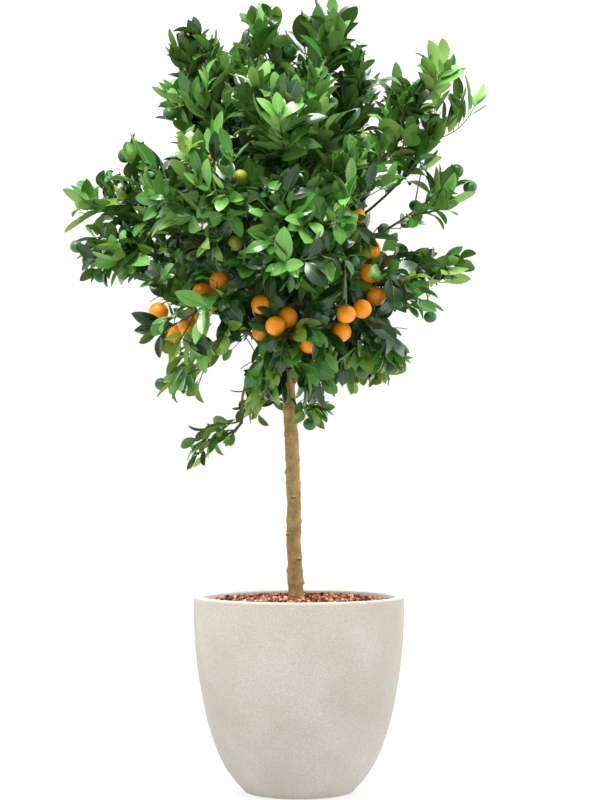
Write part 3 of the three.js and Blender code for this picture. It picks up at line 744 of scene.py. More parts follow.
def spray_kind(point, chance):
    offset = (point - HUB) / CROWN_REACH
    if point[2] < LOW_CROWN:
        place = LOW_DOWN
    else:
        place = OUTSIDE if offset @ offset > OUTSIDE_FROM else DEPTH
    shares = [weights[place] for _, _, _, weights in LEAF_KINDS]
    return chance.choices(range(len(LEAF_KINDS)), shares)[0]


class FruitRoom:
    """Keeps leaves out of the fruit, and from before ripe fruit as seen from the front or the back."""

    def __init__(self, fruit):
        self.centres = np.array([centre for centre, _ in fruit])
        self.radii = np.array([FRUIT_KINDS[kind][0] for _, kind in fruit])
        self.open = np.array([FRUIT_KINDS[kind][0] * FRUIT_KINDS[kind][1] for _, kind in fruit])

    def free(self, points):
        away = np.array(points)[:, None, :] - self.centres
        if np.any(np.linalg.norm(away, axis=2) < self.radii + FRUIT_MARGIN):
            return False
        before = away[:, :, 1] * self.centres[:, 1] > 0
        return not np.any(before & (np.hypot(away[:, :, 0], away[:, :, 2]) < self.open))


class Leaf:
    """Where a leaf sits on its limb, which way it points and which way its upper side faces."""

    def __init__(self, root, heading, facing, size, shape, kind):
        self.root, self.heading, self.facing = root, heading, facing
        self.size, self.shape, self.kind = size, shape, kind

    def turn(self):
        """The turn that lays the blade along its heading, with its upper side to its facing."""
        return euler(np.cross(self.heading, self.facing), self.heading, self.facing)


def grow_leaves(mass, limbs, welcomes, clearance, spacing, fruit_room, reach, chance):
    leaves = []
    overhang = LEAF_OVERHANG if mass.leaf == 1 else LEAF_OVERHANG / 4

    def add(root, tangent, turn, angle, size, kind):
        for attempt in range(LEAF_ATTEMPTS):
            heading = leaving(tangent, turn + attempt * GOLDEN_ANGLE, math.radians(angle))
            lift = mix(*LEAF_LIFTS, rising(root)) + chance.uniform(-LEAF_LIFT_CHANCE, LEAF_LIFT_CHANCE)
            heading = unit(heading + UP * lift)
            facing = unit(root - HUB) * FACE_OUT + UP * FACE_UP + tangent * FACE_ALONG
            facing = facing + vec(*(chance.uniform(-FACE_CHANCE, FACE_CHANCE) for _ in range(3)))
            facing = unit(facing - heading * (facing @ heading))
            length = reach * size
            blade = [root + heading * length * share for share in BLADE_PROBES]
            if not (welcomes(blade[3], -overhang) and welcomes(blade[1], -overhang / 2)):
                continue
            if in_sky(blade[0]) or in_sky(blade[2]):
                continue
            if not clearance.free(root + heading * BLADE_START, blade[3], LEAF_MARGIN):
                continue
            if not fruit_room.free(blade):
                continue
            if not spacing.take(blade[1]):
                continue
            leaves.append(Leaf(root, heading, facing, size * mass.leaf, chance.randrange(LEAF_SHAPES), kind))
            return

    for which, limb in enumerate(limbs):
        kind = spray_kind(limb.at(1), chance)
        turn = which + mass.phase
        angle, size = [chance.uniform(*limits) for limits in END_LEAF]
        add(limb.at(LEAF_LAST), limb.heading(1), turn, angle, size, kind)
        for i in range(1, TIP_COUNT + 1):
            along = max(TIP_FROM, LEAF_LAST - i * TIP_SPACING / limb.length)
            angle, size = [chance.uniform(*limits) for limits in TIP_LEAVES]
            add(limb.at(along), limb.heading(along), turn + i * GOLDEN_ANGLE, angle, size, kind)
        first = SIDE_FROM[limb.kind]
        last = LEAF_LAST - TIP_LENGTH / limb.length
        count = int(max(0, last - first) * limb.length * mass.fullness / LEAF_SPACING)
        for i in range(count):
            along = mix(first, last, (i + 0.5) / count)
            angle, size = [chance.uniform(*limits) for limits in SIDE_LEAVES]
            side_turn = turn + (i + TIP_COUNT + 2) * GOLDEN_ANGLE
            add(limb.at(along), limb.heading(along), side_turn, angle, size, kind)
    return leaves


def hang_fruit(masses):
    """Gives each fruit to the mass whose axis it is nearest to, against the mass's width."""

    def remoteness(mass, centre):
        share = np.clip((centre - mass.start) @ mass.axis / (2 * mass.half), 0, 1)
        return np.linalg.norm(mix(mass.start, mass.end, share) - centre) / mass.width

    for kind, places in FRUIT.items():
        for place in places:
            centre = vec(*place)
            home = min(masses, key=lambda mass: remoteness(mass, centre))
            home.fruit.append((centre, kind))


def fruit_stalk(centre, radius, limbs):
    """A stalk from the nearest point of the limbs. One below the fruit's middle counts as further off."""
    spots = np.array([limb.at(t) for limb in limbs for t in np.linspace(0, 1, STALK_TRIES)])
    below = np.where(spots[:, 2] < centre[2], STALK_FALL, 0)
    root = spots[np.argmin(np.linalg.norm(spots - centre, axis=1) + below)]
    top = centre + unit(unit(root - centre) + UP * STALK_UP) * radius * STALK_DEPTH
    bow = mix(root, top, 0.5) + UP * STALK_ARCH
    return Limb(bezier(root, bow, top, count=6), *STALK_RADII, kind=GREEN)


def sheltering_leaves(centre, stalk, fruit_room, spacing, reach, chance):
    """Leaves that hang from the root of a fruit's stalk and hide a part of the fruit."""
    leaves = []
    outwards = unit(centre * vec(1, 1, 0))
    across = np.cross(outwards, UP)
    root = stalk.at(0)
    kind = spray_kind(root, chance)
    for _ in range(SHELTER_ATTEMPTS):
        aside = chance.choice((-1, 1)) * chance.uniform(*SHELTER_ASIDE)
        before = chance.uniform(*SHELTER_BEFORE)
        target = centre + outwards * before + across * aside + UP * chance.uniform(*SHELTER_UP)
        heading = unit(target - root)
        facing = outwards + UP * FACE_UP + across * chance.uniform(-SHELTER_TILT, SHELTER_TILT)
        facing = unit(facing - heading * (facing @ heading))
        size = chance.uniform(*SHELTER_SIZES)
        blade = [root + heading * reach * size * share for share in BLADE_PROBES]
        if len(leaves) < SHELTER_LEAVES and fruit_room.free(blade) and spacing.take(blade[1]):
            leaves.append(Leaf(root, heading, facing, size, chance.randrange(LEAF_SHAPES), kind))
    return leaves


@functools.lru_cache(maxsize=None)
def grown_tree(seed, reach):
    """Everything that grows, by the reach of a full-grown leaf on its stalk: wood, leaves and fruit."""
    trunk = Limb(trunk_points(), TRUNK_RADIUS + TRUNK_TAPER, TRUNK_RADIUS)
    masses = make_masses(trunk)
    boughs = {"trunk": trunk}
    for mass in masses:
        if mass.name in MASSES:
            on, at = MASSES[mass.name][5:]
            boughs[mass.name] = make_bough(mass, boughs[on], at, None, on == "trunk")
        elif mass.name == "strand":
            elbow = vec(*STRAND["elbow"])
            boughs[mass.name] = make_bough(mass, boughs[STRAND["on"]], STRAND["at"], elbow, False)
    limbs = [bough for name, bough in boughs.items() if name != "trunk"]
    clearance = Clearance(trunk, limbs)
    hang_fruit(masses)
    fruit_room = FruitRoom([fruit for mass in masses for fruit in mass.fruit])
    spacing = Spacing(LEAF_GAP)
    wood, leaves = [], {}
    for mass in masses:
        chance = random.Random(seed + mass.seed)
        stem = grow_stem(mass)
        main = [stem, *grow_twigs(mass, stem, clearance)]
        shoots = grow_shoots(mass, main, clearance, reach * mass.leaf, chance)
        limbs_here = [*main, *shoots]
        stalks = [fruit_stalk(centre, FRUIT_KINDS[kind][0], limbs_here) for centre, kind in mass.fruit]
        leafy = [stalk for stalk in stalks if stalk.length > LEAFY_STALK]
        keep_clear = (clearance, spacing, fruit_room, reach * mass.leaf, chance)
        leaves[mass.name] = [
            leaf
            for (centre, kind), stalk in zip(mass.fruit, stalks)
            if kind == "sheltered"
            for leaf in sheltering_leaves(centre, stalk, fruit_room, spacing, reach, chance)
        ]
        leaves[mass.name] += grow_leaves(mass, [*limbs_here, *leafy], mass.welcomes, *keep_clear)
        if mass.name in boughs:
            spurs = grow_spurs(boughs[mass.name], clearance, chance)
            leaves[mass.name] += grow_leaves(mass, spurs, inside_crown, *keep_clear)
            wood += spurs
        wood += [*main, *shoots, *stalks]
        mass.stalks = stalks
    return {"trunk": trunk, "boughs": limbs, "masses": masses, "wood": wood, "leaves": leaves}


def tree_of(context):
    settings = context.scene.citrus_crown
    return grown_tree(settings.seed, round((settings.leaf_length + settings.leaf_stalk) / MM, 3))


# ---------------------------------------------------------------- helpers for meshes, nodes and finishes


def linear(hex_colour):
    """An sRGB hex colour as the linear numbers that a shader takes."""
    channels = [int(hex_colour[i : i + 2], 16) / 255 for i in (0, 2, 4)]
    return tuple(c / 12.92 if c <= 0.04045 else ((c + 0.055) / 1.055) ** 2.4 for c in channels)


def add_node(tree, kind, settings=None, inputs=None):
    """Adds a node, sets what settings names, and sets or links its inputs, by name or number."""
    node = tree.nodes.new(kind)
    for name, value in (settings or {}).items():
        setattr(node, name, value)
    for name, value in (inputs or {}).items():
        socket = node.inputs[name]
        if isinstance(value, bpy.types.NodeSocket):
            tree.links.new(value, socket)
        else:
            socket.default_value = value
    return node


def finish_material(name, colour, roughness, **sockets):
    """A material with one Principled shader. Returns the material, its node tree and the shader."""
    material = bpy.data.materials.new(name)
    material.use_nodes = True
    tree = material.node_tree
    shader = tree.nodes["Principled BSDF"]
    shader.inputs["Base Color"].default_value = (*colour[:3], 1)
    shader.inputs["Roughness"].default_value = roughness
    for socket, value in sockets.items():
        shader.inputs[socket.replace("_", " ")].default_value = value
    material.diffuse_color = (*colour[:3], 1)
    return material, tree, shader


def new_object(name, vertices, faces, materials=(), material_of=None, smooth=True):
    """A mesh object at the origin. material_of gives each face's number in materials."""
    mesh = bpy.data.meshes.new(name)
    mesh.from_pydata([tuple(v) for v in vertices], [], [tuple(int(i) for i in f) for f in faces])
    for material in materials:
        mesh.materials.append(material)
    if material_of is not None:
        mesh.polygons.foreach_set("material_index", np.array(material_of, np.int32))
    mesh.polygons.foreach_set("use_smooth", np.full(len(mesh.polygons), smooth))
    mesh.update()
    thing = bpy.data.objects.new(name, mesh)
    bpy.context.scene.collection.objects.link(thing)
    return thing


def add_attribute(mesh, name, kind, domain, values):
    attribute = mesh.attributes.new(name, kind, domain)
    field = "vector" if kind == "FLOAT_VECTOR" else "value"
    attribute.data.foreach_set(field, np.array(values).ravel())


def placed(thing, slot, *nodes):
    """The piece rides on the only body and stands for these nodes. slot is not used."""
    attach(thing, BODY)
    if nodes:
        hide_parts(*nodes)
    return thing


def turned(profile, sides):
    """Vertices and faces of a profile of (radius, height) points turned round the vertical axis."""
    vertices, faces, rows = [], [], []
    for radius, height in profile:
        if radius == 0:
            rows.append([len(vertices)] * sides)
            vertices.append((0, 0, height))
            continue
        rows.append([len(vertices) + i for i in range(sides)])
        for i in range(sides):
            turn = 2 * math.pi * i / sides
            vertices.append((radius * math.cos(turn), radius * math.sin(turn), height))
    for below, above in zip(rows, rows[1:]):
        for i in range(sides):
            j = (i + 1) % sides
            corners = list(dict.fromkeys([below[i], below[j], above[j], above[i]]))
            if len(corners) > 2:
                faces.append(corners)
    return vertices, faces


def tube(limb, radius_at, sides, step, relief=None):
    """Vertices and faces of a closed tube round a limb, in metres. relief adds to the radius at a point."""
    rings = max(3, round(limb.length / step))
    points = [limb.at(i / rings) for i in range(rings + 1)]
    across = leaving(limb.heading(0), 0, math.pi / 2)
    vertices, faces = [], []
    for i, point in enumerate(points):
        way = limb.heading(i / rings)
        across = unit(across - way * (across @ way))
        other = np.cross(way, across)
        for side in range(sides):
            turn = 2 * math.pi * side / sides
            out = across * math.cos(turn) + other * math.sin(turn)
            radius = radius_at(i / rings)
            if relief:
                radius += relief(point, out, turn, i / rings)
            vertices.append((point + out * radius) * MM)
    for i in range(rings):
        for side in range(sides):
            a, b = i * sides + side, i * sides + (side + 1) % sides
            faces.append((a, b, b + sides, a + sides))
    faces.append(tuple(range(sides - 1, -1, -1)))
    faces.append(tuple(rings * sides + side for side in range(sides)))
    return vertices, faces


def joined(parts):
    """Several (vertices, faces) as one, and how many faces each brings."""
    vertices, faces, counts = [], [], []
    for part_vertices, part_faces in parts:
        start = len(vertices)
        vertices += list(part_vertices)
        faces += [tuple(start + i for i in face) for face in part_faces]
        counts.append(len(part_faces))
    return vertices, faces, counts


def points_object(name, places, **attributes):
    """Loose points in metres with attributes, each given as (type, values), for a node tree to read."""
    mesh = bpy.data.meshes.new(name)
    mesh.from_pydata([tuple(p) for p in places], [], [])
    for attribute, (kind, values) in attributes.items():
        add_attribute(mesh, attribute, kind, "POINT", values)
    thing = bpy.data.objects.new(name, mesh)
    bpy.context.scene.collection.objects.link(thing)
    return thing


def new_geometry_tree(name, inputs):
    tree = bpy.data.node_groups.new(name, "GeometryNodeTree")
    tree.interface.new_socket("Geometry", in_out="INPUT", socket_type="NodeSocketGeometry")
    for label, kind in inputs.items():
        tree.interface.new_socket(label, in_out="INPUT", socket_type=kind)
    tree.interface.new_socket("Geometry", in_out="OUTPUT", socket_type="NodeSocketGeometry")
    return tree, add_node(tree, "NodeGroupInput"), add_node(tree, "NodeGroupOutput")


SIDES_PER_KIND = 8  # a face's finish is its spray's kind times this, and its own side of the shape
EPSILON = 12  # number of the Compare node's input for how far two equal values may differ
COLOUR_A, COLOUR_B = 6, 7  # numbers of the Mix node's inputs for its two colours


def set_materials(tree, geometry, finish, materials):
    """A Set Material node for each (number, material), for the faces whose finish is that number."""
    for number, material in materials:
        chosen = add_node(
            tree,
            "FunctionNodeCompare",
            {"data_type": "FLOAT", "operation": "EQUAL"},
            {0: finish, 1: number, EPSILON: 0.1},
        )
        inputs = {"Geometry": geometry, "Selection": chosen.outputs["Result"], "Material": material}
        geometry = add_node(tree, "GeometryNodeSetMaterial", None, inputs).outputs["Geometry"]
    return geometry


def named_attribute(tree, name, kind):
    node = add_node(tree, "GeometryNodeInputNamedAttribute", {"data_type": kind}, {"Name": name})
    return node.outputs["Attribute"]


def scatter_tree(name, materials):
    """Puts one of the shapes on each point, by its turn, size, shape and kind."""
    tree, source, result = new_geometry_tree(
        name, {"Shapes": "NodeSocketCollection", "Size": "NodeSocketFloat"}
    )
    shapes = add_node(
        tree,
        "GeometryNodeCollectionInfo",
        None,
        {"Collection": source.outputs["Shapes"], "Separate Children": True, "Reset Children": True},
    )
    angles = named_attribute(tree, "turn", "FLOAT_VECTOR")
    turn = add_node(tree, "FunctionNodeEulerToRotation", None, {0: angles})
    size = add_node(
        tree,
        "ShaderNodeMath",
        {"operation": "MULTIPLY"},
        {0: named_attribute(tree, "size", "FLOAT"), 1: source.outputs["Size"]},
    )
    instances = add_node(
        tree,
        "GeometryNodeInstanceOnPoints",
        None,
        {
            "Points": source.outputs["Geometry"],
            "Instance": shapes.outputs[0],
            "Pick Instance": True,
            "Instance Index": named_attribute(tree, "shape", "INT"),
            "Rotation": turn.outputs[0],
            "Scale": size.outputs[0],
        },
    )
    real = add_node(tree, "GeometryNodeRealizeInstances", None, {"Geometry": instances.outputs[0]})
    finish = add_node(
        tree,
        "ShaderNodeMath",
        {"operation": "MULTIPLY_ADD"},
        {0: named_attribute(tree, "kind", "INT"), 1: SIDES_PER_KIND, 2: named_attribute(tree, "side", "INT")},
    )
    geometry = set_materials(tree, real.outputs[0], finish.outputs[0], materials)
    tree.links.new(geometry, result.inputs["Geometry"])
    return tree


def tube_tree(name, materials, sides):
    """Draws a tube round each line, by its thickness and kind."""
    tree, source, result = new_geometry_tree(name, {"Size": "NodeSocketFloat"})
    lines = add_node(tree, "GeometryNodeMeshToCurve", None, {"Mesh": source.outputs["Geometry"]})
    thickness = add_node(
        tree,
        "ShaderNodeMath",
        {"operation": "MULTIPLY"},
        {0: named_attribute(tree, "thickness", "FLOAT"), 1: source.outputs["Size"]},
    )
    ring = add_node(tree, "GeometryNodeCurvePrimitiveCircle", None, {"Resolution": sides, "Radius": 1.0})
    skin = add_node(
        tree,
        "GeometryNodeCurveToMesh",
        None,
        {
            "Curve": lines.outputs[0],
            "Profile Curve": ring.outputs[0],
            "Scale": thickness.outputs[0],
            "Fill Caps": True,
        },
    )
    real = add_node(tree, "GeometryNodeRealizeInstances", None, {"Geometry": skin.outputs[0]})
    geometry = set_materials(tree, real.outputs[0], named_attribute(tree, "kind", "INT"), materials)
    tree.links.new(geometry, result.inputs["Geometry"])
    return tree


def made_by(tree, source, name, **inputs):
    """The result of a node tree on an object as a plain mesh object, with the modifier and source removed."""
    modifier = source.modifiers.new(tree.name, "NODES")
    modifier.node_group = tree
    for label, value in inputs.items():
        socket = next(s for s in tree.interface.items_tree if s.name == label and s.in_out == "INPUT")
        modifier[socket.identifier] = value
    graph = bpy.context.evaluated_depsgraph_get()
    mesh = bpy.data.meshes.new_from_object(source.evaluated_get(graph), depsgraph=graph)
    source.modifiers.remove(modifier)
    bpy.data.objects.remove(source)
    for label in ("turn", "size", "shape", "kind", "side", "thickness"):
        if label in mesh.attributes:
            mesh.attributes.remove(mesh.attributes[label])
    mesh.name = name
    thing = bpy.data.objects.new(name, mesh)
    bpy.context.scene.collection.objects.link(thing)
    return thing


def shape_collection(name, shapes):
    """Hidden shapes for a node tree to pick from, in the order of their names."""
    collection = bpy.data.collections.new(name)
    for shape in shapes:
        for home in shape.users_collection:
            home.objects.unlink(shape)
        collection.objects.link(shape)
    return collection


def drop_collection(collection):
    for shape in list(collection.objects):
        bpy.data.objects.remove(shape)
    bpy.data.collections.remove(collection)


def euler(side, along, up):
    """The turn that takes X, Y and Z to these three directions."""
    return tuple(Matrix((side, along, up)).transposed().to_euler())


# ---------------------------------------------------------------- settings


class CitrusPlanter(bpy.types.PropertyGroup):
    height: bpy.props.FloatProperty(
        name="Height", description="From the floor to the rim", default=PLANTER_TOP.z, unit="LENGTH"
    )
    radius: bpy.props.FloatProperty(
        name="Radius", description="At the widest, just under the rim", default=PLANTER_TOP.x, unit="LENGTH"
    )
    wall: bpy.props.FloatProperty(
        name="Wall", description="Thickness of the wall and the rim", default=0.016, unit="LENGTH"
    )
    grain: bpy.props.FloatProperty(
        name="Grain", description="Size of the grain in the stone mix", default=0.0018, unit="LENGTH"
    )
    stone: bpy.props.FloatVectorProperty(
        name="Stone", description="Colour of the stone mix", subtype="COLOR", default=linear("b9b2a7")
    )
    speck: bpy.props.FloatVectorProperty(
        name="Speck", description="Colour of its darker grains", subtype="COLOR", default=linear("ada394")
    )


class CitrusGranules(bpy.types.PropertyGroup):
    size: bpy.props.FloatProperty(
        name="Size", description="Across a usual granule", default=0.0102, unit="LENGTH"
    )
    count: bpy.props.IntProperty(name="Count", description="How many granules lie on the soil", default=3000)
    clay: bpy.props.FloatVectorProperty(
        name="Clay", description="Colour of most granules", subtype="COLOR", default=linear("a25a3c")
    )


class CitrusWood(bpy.types.PropertyGroup):
    relief: bpy.props.FloatProperty(
        name="Relief", description="Depth of the bark's relief", default=0.0006, unit="LENGTH"
    )
    bark: bpy.props.FloatVectorProperty(
        name="Bark", description="Colour of the trunk's bark", subtype="COLOR", default=linear("a98a58")
    )
    twig: bpy.props.FloatVectorProperty(
        name="Twig", description="Colour of green twigs", subtype="COLOR", default=linear("5d7a33")
    )


class CitrusCrown(bpy.types.PropertyGroup):
    leaf_length: bpy.props.FloatProperty(
        name="Leaf length", description="Of a full-grown blade", default=0.052, unit="LENGTH"
    )
    leaf_width: bpy.props.FloatProperty(
        name="Leaf width", description="Of a full-grown blade", default=0.025, unit="LENGTH"
    )
    leaf_stalk: bpy.props.FloatProperty(
        name="Leaf stalk", description="Length of a leaf's stalk", default=0.007, unit="LENGTH"
    )
    seed: bpy.props.IntProperty(name="Seed", description="Chance in the finer growth", default=7)


class CitrusFruit(bpy.types.PropertyGroup):
    ripe: bpy.props.FloatVectorProperty(
        name="Ripe", description="Colour of ripe peel", subtype="COLOR", default=linear("ffa200")
    )
    green: bpy.props.FloatVectorProperty(
        name="Green", description="Colour of unripe peel", subtype="COLOR", default=linear("3f7a38")
    )


class CitrusStage(bpy.types.PropertyGroup):
    floor: bpy.props.FloatVectorProperty(
        name="Floor", description="Colour of the floor", subtype="COLOR", default=linear("8c8c8c")
    )
    distance: bpy.props.FloatProperty(
        name="Distance", description="From the camera to the stem", default=3.5, unit="LENGTH"
    )


# ---------------------------------------------------------------- planter, soil and granules

WIDEST_AT = 0.306
BELLY, TUCK, TUCK_POWER = 0.345, 0.158, 9
FOOT_RADIUS = 0.084
FOOT_ROUNDING = 0.004
RIM_ROUNDING = 0.004
FLOOR_HEIGHT = 0.018
PLANTER_SIDES, SOIL_SIDES = 256, 96
# The outside is slightly uneven, as cast: waves and pits to the metre and their depth, and its inset
WAVES, WAVE_DEPTH = 22, 0.0005
PITS, PIT_DEPTH = 150, 0.00022
SKIN_INSET = 0.0004
LUMPS, LUMP_DEPTH = 60, 0.003  # of the soil's top


def planter_radius(height, radius):
    drop = max(0, 1 - height / WIDEST_AT)
    return radius * (1 - BELLY * drop**2 - TUCK * drop**TUCK_POWER)


def arc(centre_radius, centre_height, size, start, end, steps):
    """Points of a rounding in a turned profile, from one angle to another in degrees."""
    points = []
    for i in range(steps + 1):
        turn = math.radians(mix(start, end, i / steps))
        points.append((centre_radius + size * math.cos(turn), centre_height + size * math.sin(turn)))
    return points


class CITRUS_OT_planter(bpy.types.Operator):
    """Turns the planter, with its rounded foot and rim"""

    bl_idname = "citrus.planter"
    bl_label = "Planter"

    def execute(self, context):
        settings = context.scene.citrus_planter
        height, radius, wall = settings.height, settings.radius, settings.wall
        foot = [(FOOT_RADIUS * i / 8, 0) for i in range(9)]
        start = FOOT_ROUNDING
        outside = [mix(start, height - RIM_ROUNDING, i / 150) for i in range(151)]
        rounding = [
            (mix(FOOT_RADIUS, planter_radius(start, radius), math.sin(t)), start * (1 - math.cos(t)))
            for t in np.linspace(0, math.pi / 2, 8)[1:-1]
        ]
        rim = planter_radius(height, radius)
        outer_rim = arc(rim - RIM_ROUNDING, height - RIM_ROUNDING, RIM_ROUNDING, 0, 90, 8)[1:]
        inner_rim = arc(rim - wall + RIM_ROUNDING, height - RIM_ROUNDING, RIM_ROUNDING, 90, 180, 8)
        inside = [mix(height - RIM_ROUNDING, FLOOR_HEIGHT, i / 24) for i in range(1, 25)]
        profile = [
            *foot,
            *rounding,
            *[(planter_radius(z, radius), z) for z in outside],
            *outer_rim,
            *inner_rim,
            *[(planter_radius(z, radius) - wall, z) for z in inside],
            (0, FLOOR_HEIGHT),
        ]
        vertices, faces = turned(profile, PLANTER_SIDES)
        for i, (x, y, z) in enumerate(vertices):
            if z > FOOT_ROUNDING and math.hypot(x, y) > planter_radius(z, radius) - wall / 2:
                out = Vector((x, y, 0)).normalized()
                wave = noise.noise(Vector((x, y, z)) * WAVES) * WAVE_DEPTH
                pit = noise.noise(Vector((x, y, z)) * PITS) * PIT_DEPTH
                move = out * (wave + pit - SKIN_INSET)
                vertices[i] = (x + move.x, y + move.y, z)
        outer = len(faces) - PLANTER_SIDES * (len(inner_rim) + len(inside))
        inside_of = [0] * outer + [1] * (len(faces) - outer)
        finishes = [stone_finish(settings), inner_finish(settings)]
        planter = new_object("planter_shell", vertices, faces, finishes, inside_of)
        placed(planter, "planter_stone", "planter")
        return {"FINISHED"}


def inner_finish(settings):
    """The same mix inside, smooth from its mould, and painted paler: painted light that stands in for the
    strong light on the inner wall.
    """
    material, tree, shader = finish_material("cast_stone_inside", linear("ece8e1"), 0.75)
    place = add_node(tree, "ShaderNodeTexCoord").outputs["Object"]
    grain = add_node(
        tree, "ShaderNodeTexNoise", None, {"Vector": place, "Scale": 1 / settings.grain, "Detail": 3}
    )
    ramp = add_node(tree, "ShaderNodeValToRGB", None, {"Fac": grain.outputs["Fac"]})
    ramp.color_ramp.elements[0].position = 0.3
    ramp.color_ramp.elements[0].color = (*linear("ebe6df"), 1)
    ramp.color_ramp.elements[1].position = 0.7
    ramp.color_ramp.elements[1].color = (*linear("f8f5f0"), 1)
    tree.links.new(ramp.outputs["Color"], shader.inputs["Base Color"])
    return material


def stone_finish(settings):
    """Cast stone powder and fibre: matt, with a fine warm and cool grain and a skin like fine leather."""
    material, tree, shader = finish_material("cast_stone_mix", settings.stone, 0.82)
    place = add_node(tree, "ShaderNodeTexCoord").outputs["Object"]
    grain = add_node(
        tree,
        "ShaderNodeTexNoise",
        None,
        {"Vector": place, "Scale": 1 / settings.grain, "Detail": 3, "Roughness": 0.6},
    )
    clouds = add_node(tree, "ShaderNodeTexNoise", None, {"Vector": place, "Scale": 9, "Detail": 3})
    mixed = add_node(
        tree,
        "ShaderNodeMath",
        {"operation": "MULTIPLY_ADD"},
        {0: clouds.outputs["Fac"], 1: 0.45, 2: grain.outputs["Fac"]},
    )
    ramp = add_node(tree, "ShaderNodeValToRGB", None, {"Fac": mixed.outputs[0]})
    ramp.color_ramp.elements[0].position = 0.5
    ramp.color_ramp.elements[0].color = (*settings.speck, 1)
    ramp.color_ramp.elements[1].position = 0.95
    ramp.color_ramp.elements[1].color = (*linear("cdc8bf"), 1)
    middle = ramp.color_ramp.elements.new(0.72)
    middle.color = (*settings.stone, 1)
    # The top 2 mm of the rim are painted paler: painted light on its upward face.
    height_up = add_node(tree, "ShaderNodeSeparateXYZ", None, {"Vector": place}).outputs["Z"]
    edge = add_node(
        tree,
        "ShaderNodeMapRange",
        None,
        {"Value": height_up, "From Min": settings.height - 0.002, "From Max": settings.height},
    )
    colour = add_node(
        tree,
        "ShaderNodeMix",
        {"data_type": "RGBA"},
        {
            "Factor": edge.outputs["Result"],
            COLOUR_A: ramp.outputs["Color"],
            COLOUR_B: (*linear("dcd7ce"), 1),
        },
    )
    tree.links.new(colour.outputs[2], shader.inputs["Base Color"])
    dimples = add_node(
        tree,
        "ShaderNodeTexVoronoi",
        {"feature": "SMOOTH_F1"},
        {"Vector": place, "Scale": 0.55 / settings.grain, "Randomness": 1.0},
    )
    height = add_node(
        tree,
        "ShaderNodeMath",
        {"operation": "MULTIPLY_ADD"},
        {0: grain.outputs["Fac"], 1: 0.6, 2: dimples.outputs["Distance"]},
    )
    bump = add_node(
        tree, "ShaderNodeBump", None, {"Height": height.outputs[0], "Strength": 0.3, "Distance": 0.0006}
    )
    tree.links.new(bump.outputs["Normal"], shader.inputs["Normal"])
    return material


class CITRUS_OT_soil(bpy.types.Operator):
    """Fills the planter with moist soil, lumpy on top"""

    bl_idname = "citrus.soil"
    bl_label = "Soil"

    def execute(self, context):
        settings = context.scene.citrus_planter
        gap = 0.0006
        top = SOIL_TOP.z
        levels = [mix(FLOOR_HEIGHT + gap, top, i / 12) for i in range(13)]
        side = [(planter_radius(z, settings.radius) - settings.wall - gap, z) for z in levels]
        across = [(side[-1][0] * (1 - i / 16), top) for i in range(1, 17)]
        vertices, faces = turned([(0, levels[0]), *side, *across], SOIL_SIDES)
        for i, (x, y, z) in enumerate(vertices):
            if z > top - gap and math.hypot(x, y) < side[-1][0] - gap:
                vertices[i] = (x, y, z - LUMP_DEPTH * (0.5 + noise.noise(Vector((x, y, 0)) * LUMPS)))
        placed(new_object("soil_fill", vertices, faces, [soil_finish()]), "potting_soil", "soil")
        return {"FINISHED"}


def soil_finish():
    """Moist potting soil: dark brown crumbs of about 4 mm without any gloss, the drier ones paler."""
    material, tree, shader = finish_material("moist_potting_soil", linear("3a2a20"), 0.95)
    place = add_node(tree, "ShaderNodeTexCoord").outputs["Object"]
    crumbs = add_node(tree, "ShaderNodeTexNoise", None, {"Vector": place, "Scale": 260, "Detail": 4})
    ramp = add_node(tree, "ShaderNodeValToRGB", None, {"Fac": crumbs.outputs["Fac"]})
    ramp.color_ramp.elements[0].color = (*linear("231812"), 1)
    ramp.color_ramp.elements[1].color = (*linear("5a4232"), 1)
    tree.links.new(ramp.outputs["Color"], shader.inputs["Base Color"])
    return material


# Broken clay in four shades: name, colour and share. The colour of the red one is a setting.
CLAY_SHADES = [
    ("dark", "542a1c", 3),
    ("red", None, 3.4),
    ("orange", "d28458", 3.2),
    ("pale", "f2c4a4", 2.2),
]
STEM_OPENING = 0.018
MOUND, MOUND_POWER = 0.007, 4  # how much higher the layer is in its middle, and how late it falls off
HOLLOWS, HOLLOW_DEPTH = 30, 0.003
LAYER_DROP, LAYER_DEPTH = 0.004, 0.011
CHIP_SHAPES, CHIP_POINTS = 6, 11
CHIP_FLATNESS = (1, 0.8, 0.55)
CHIP_SIZES, CHIP_SIZE_CHANCE = (0.62, 0.8, 1, 1.2), (0.85, 1.1)
CHIP_INSET = 0.45  # of a chip's size, from the wall


def clay_finishes(settings):
    """Fired clay: dry and matt, so each chip is one plain colour, and their mixture mottles the layer."""
    finishes = []
    for kind, (name, shade, _) in enumerate(CLAY_SHADES):
        colour = linear(shade) if shade else settings.clay
        finishes.append((kind * SIDES_PER_KIND, finish_material(f"fired_clay_{name}", colour, 0.9)[0]))
    return finishes


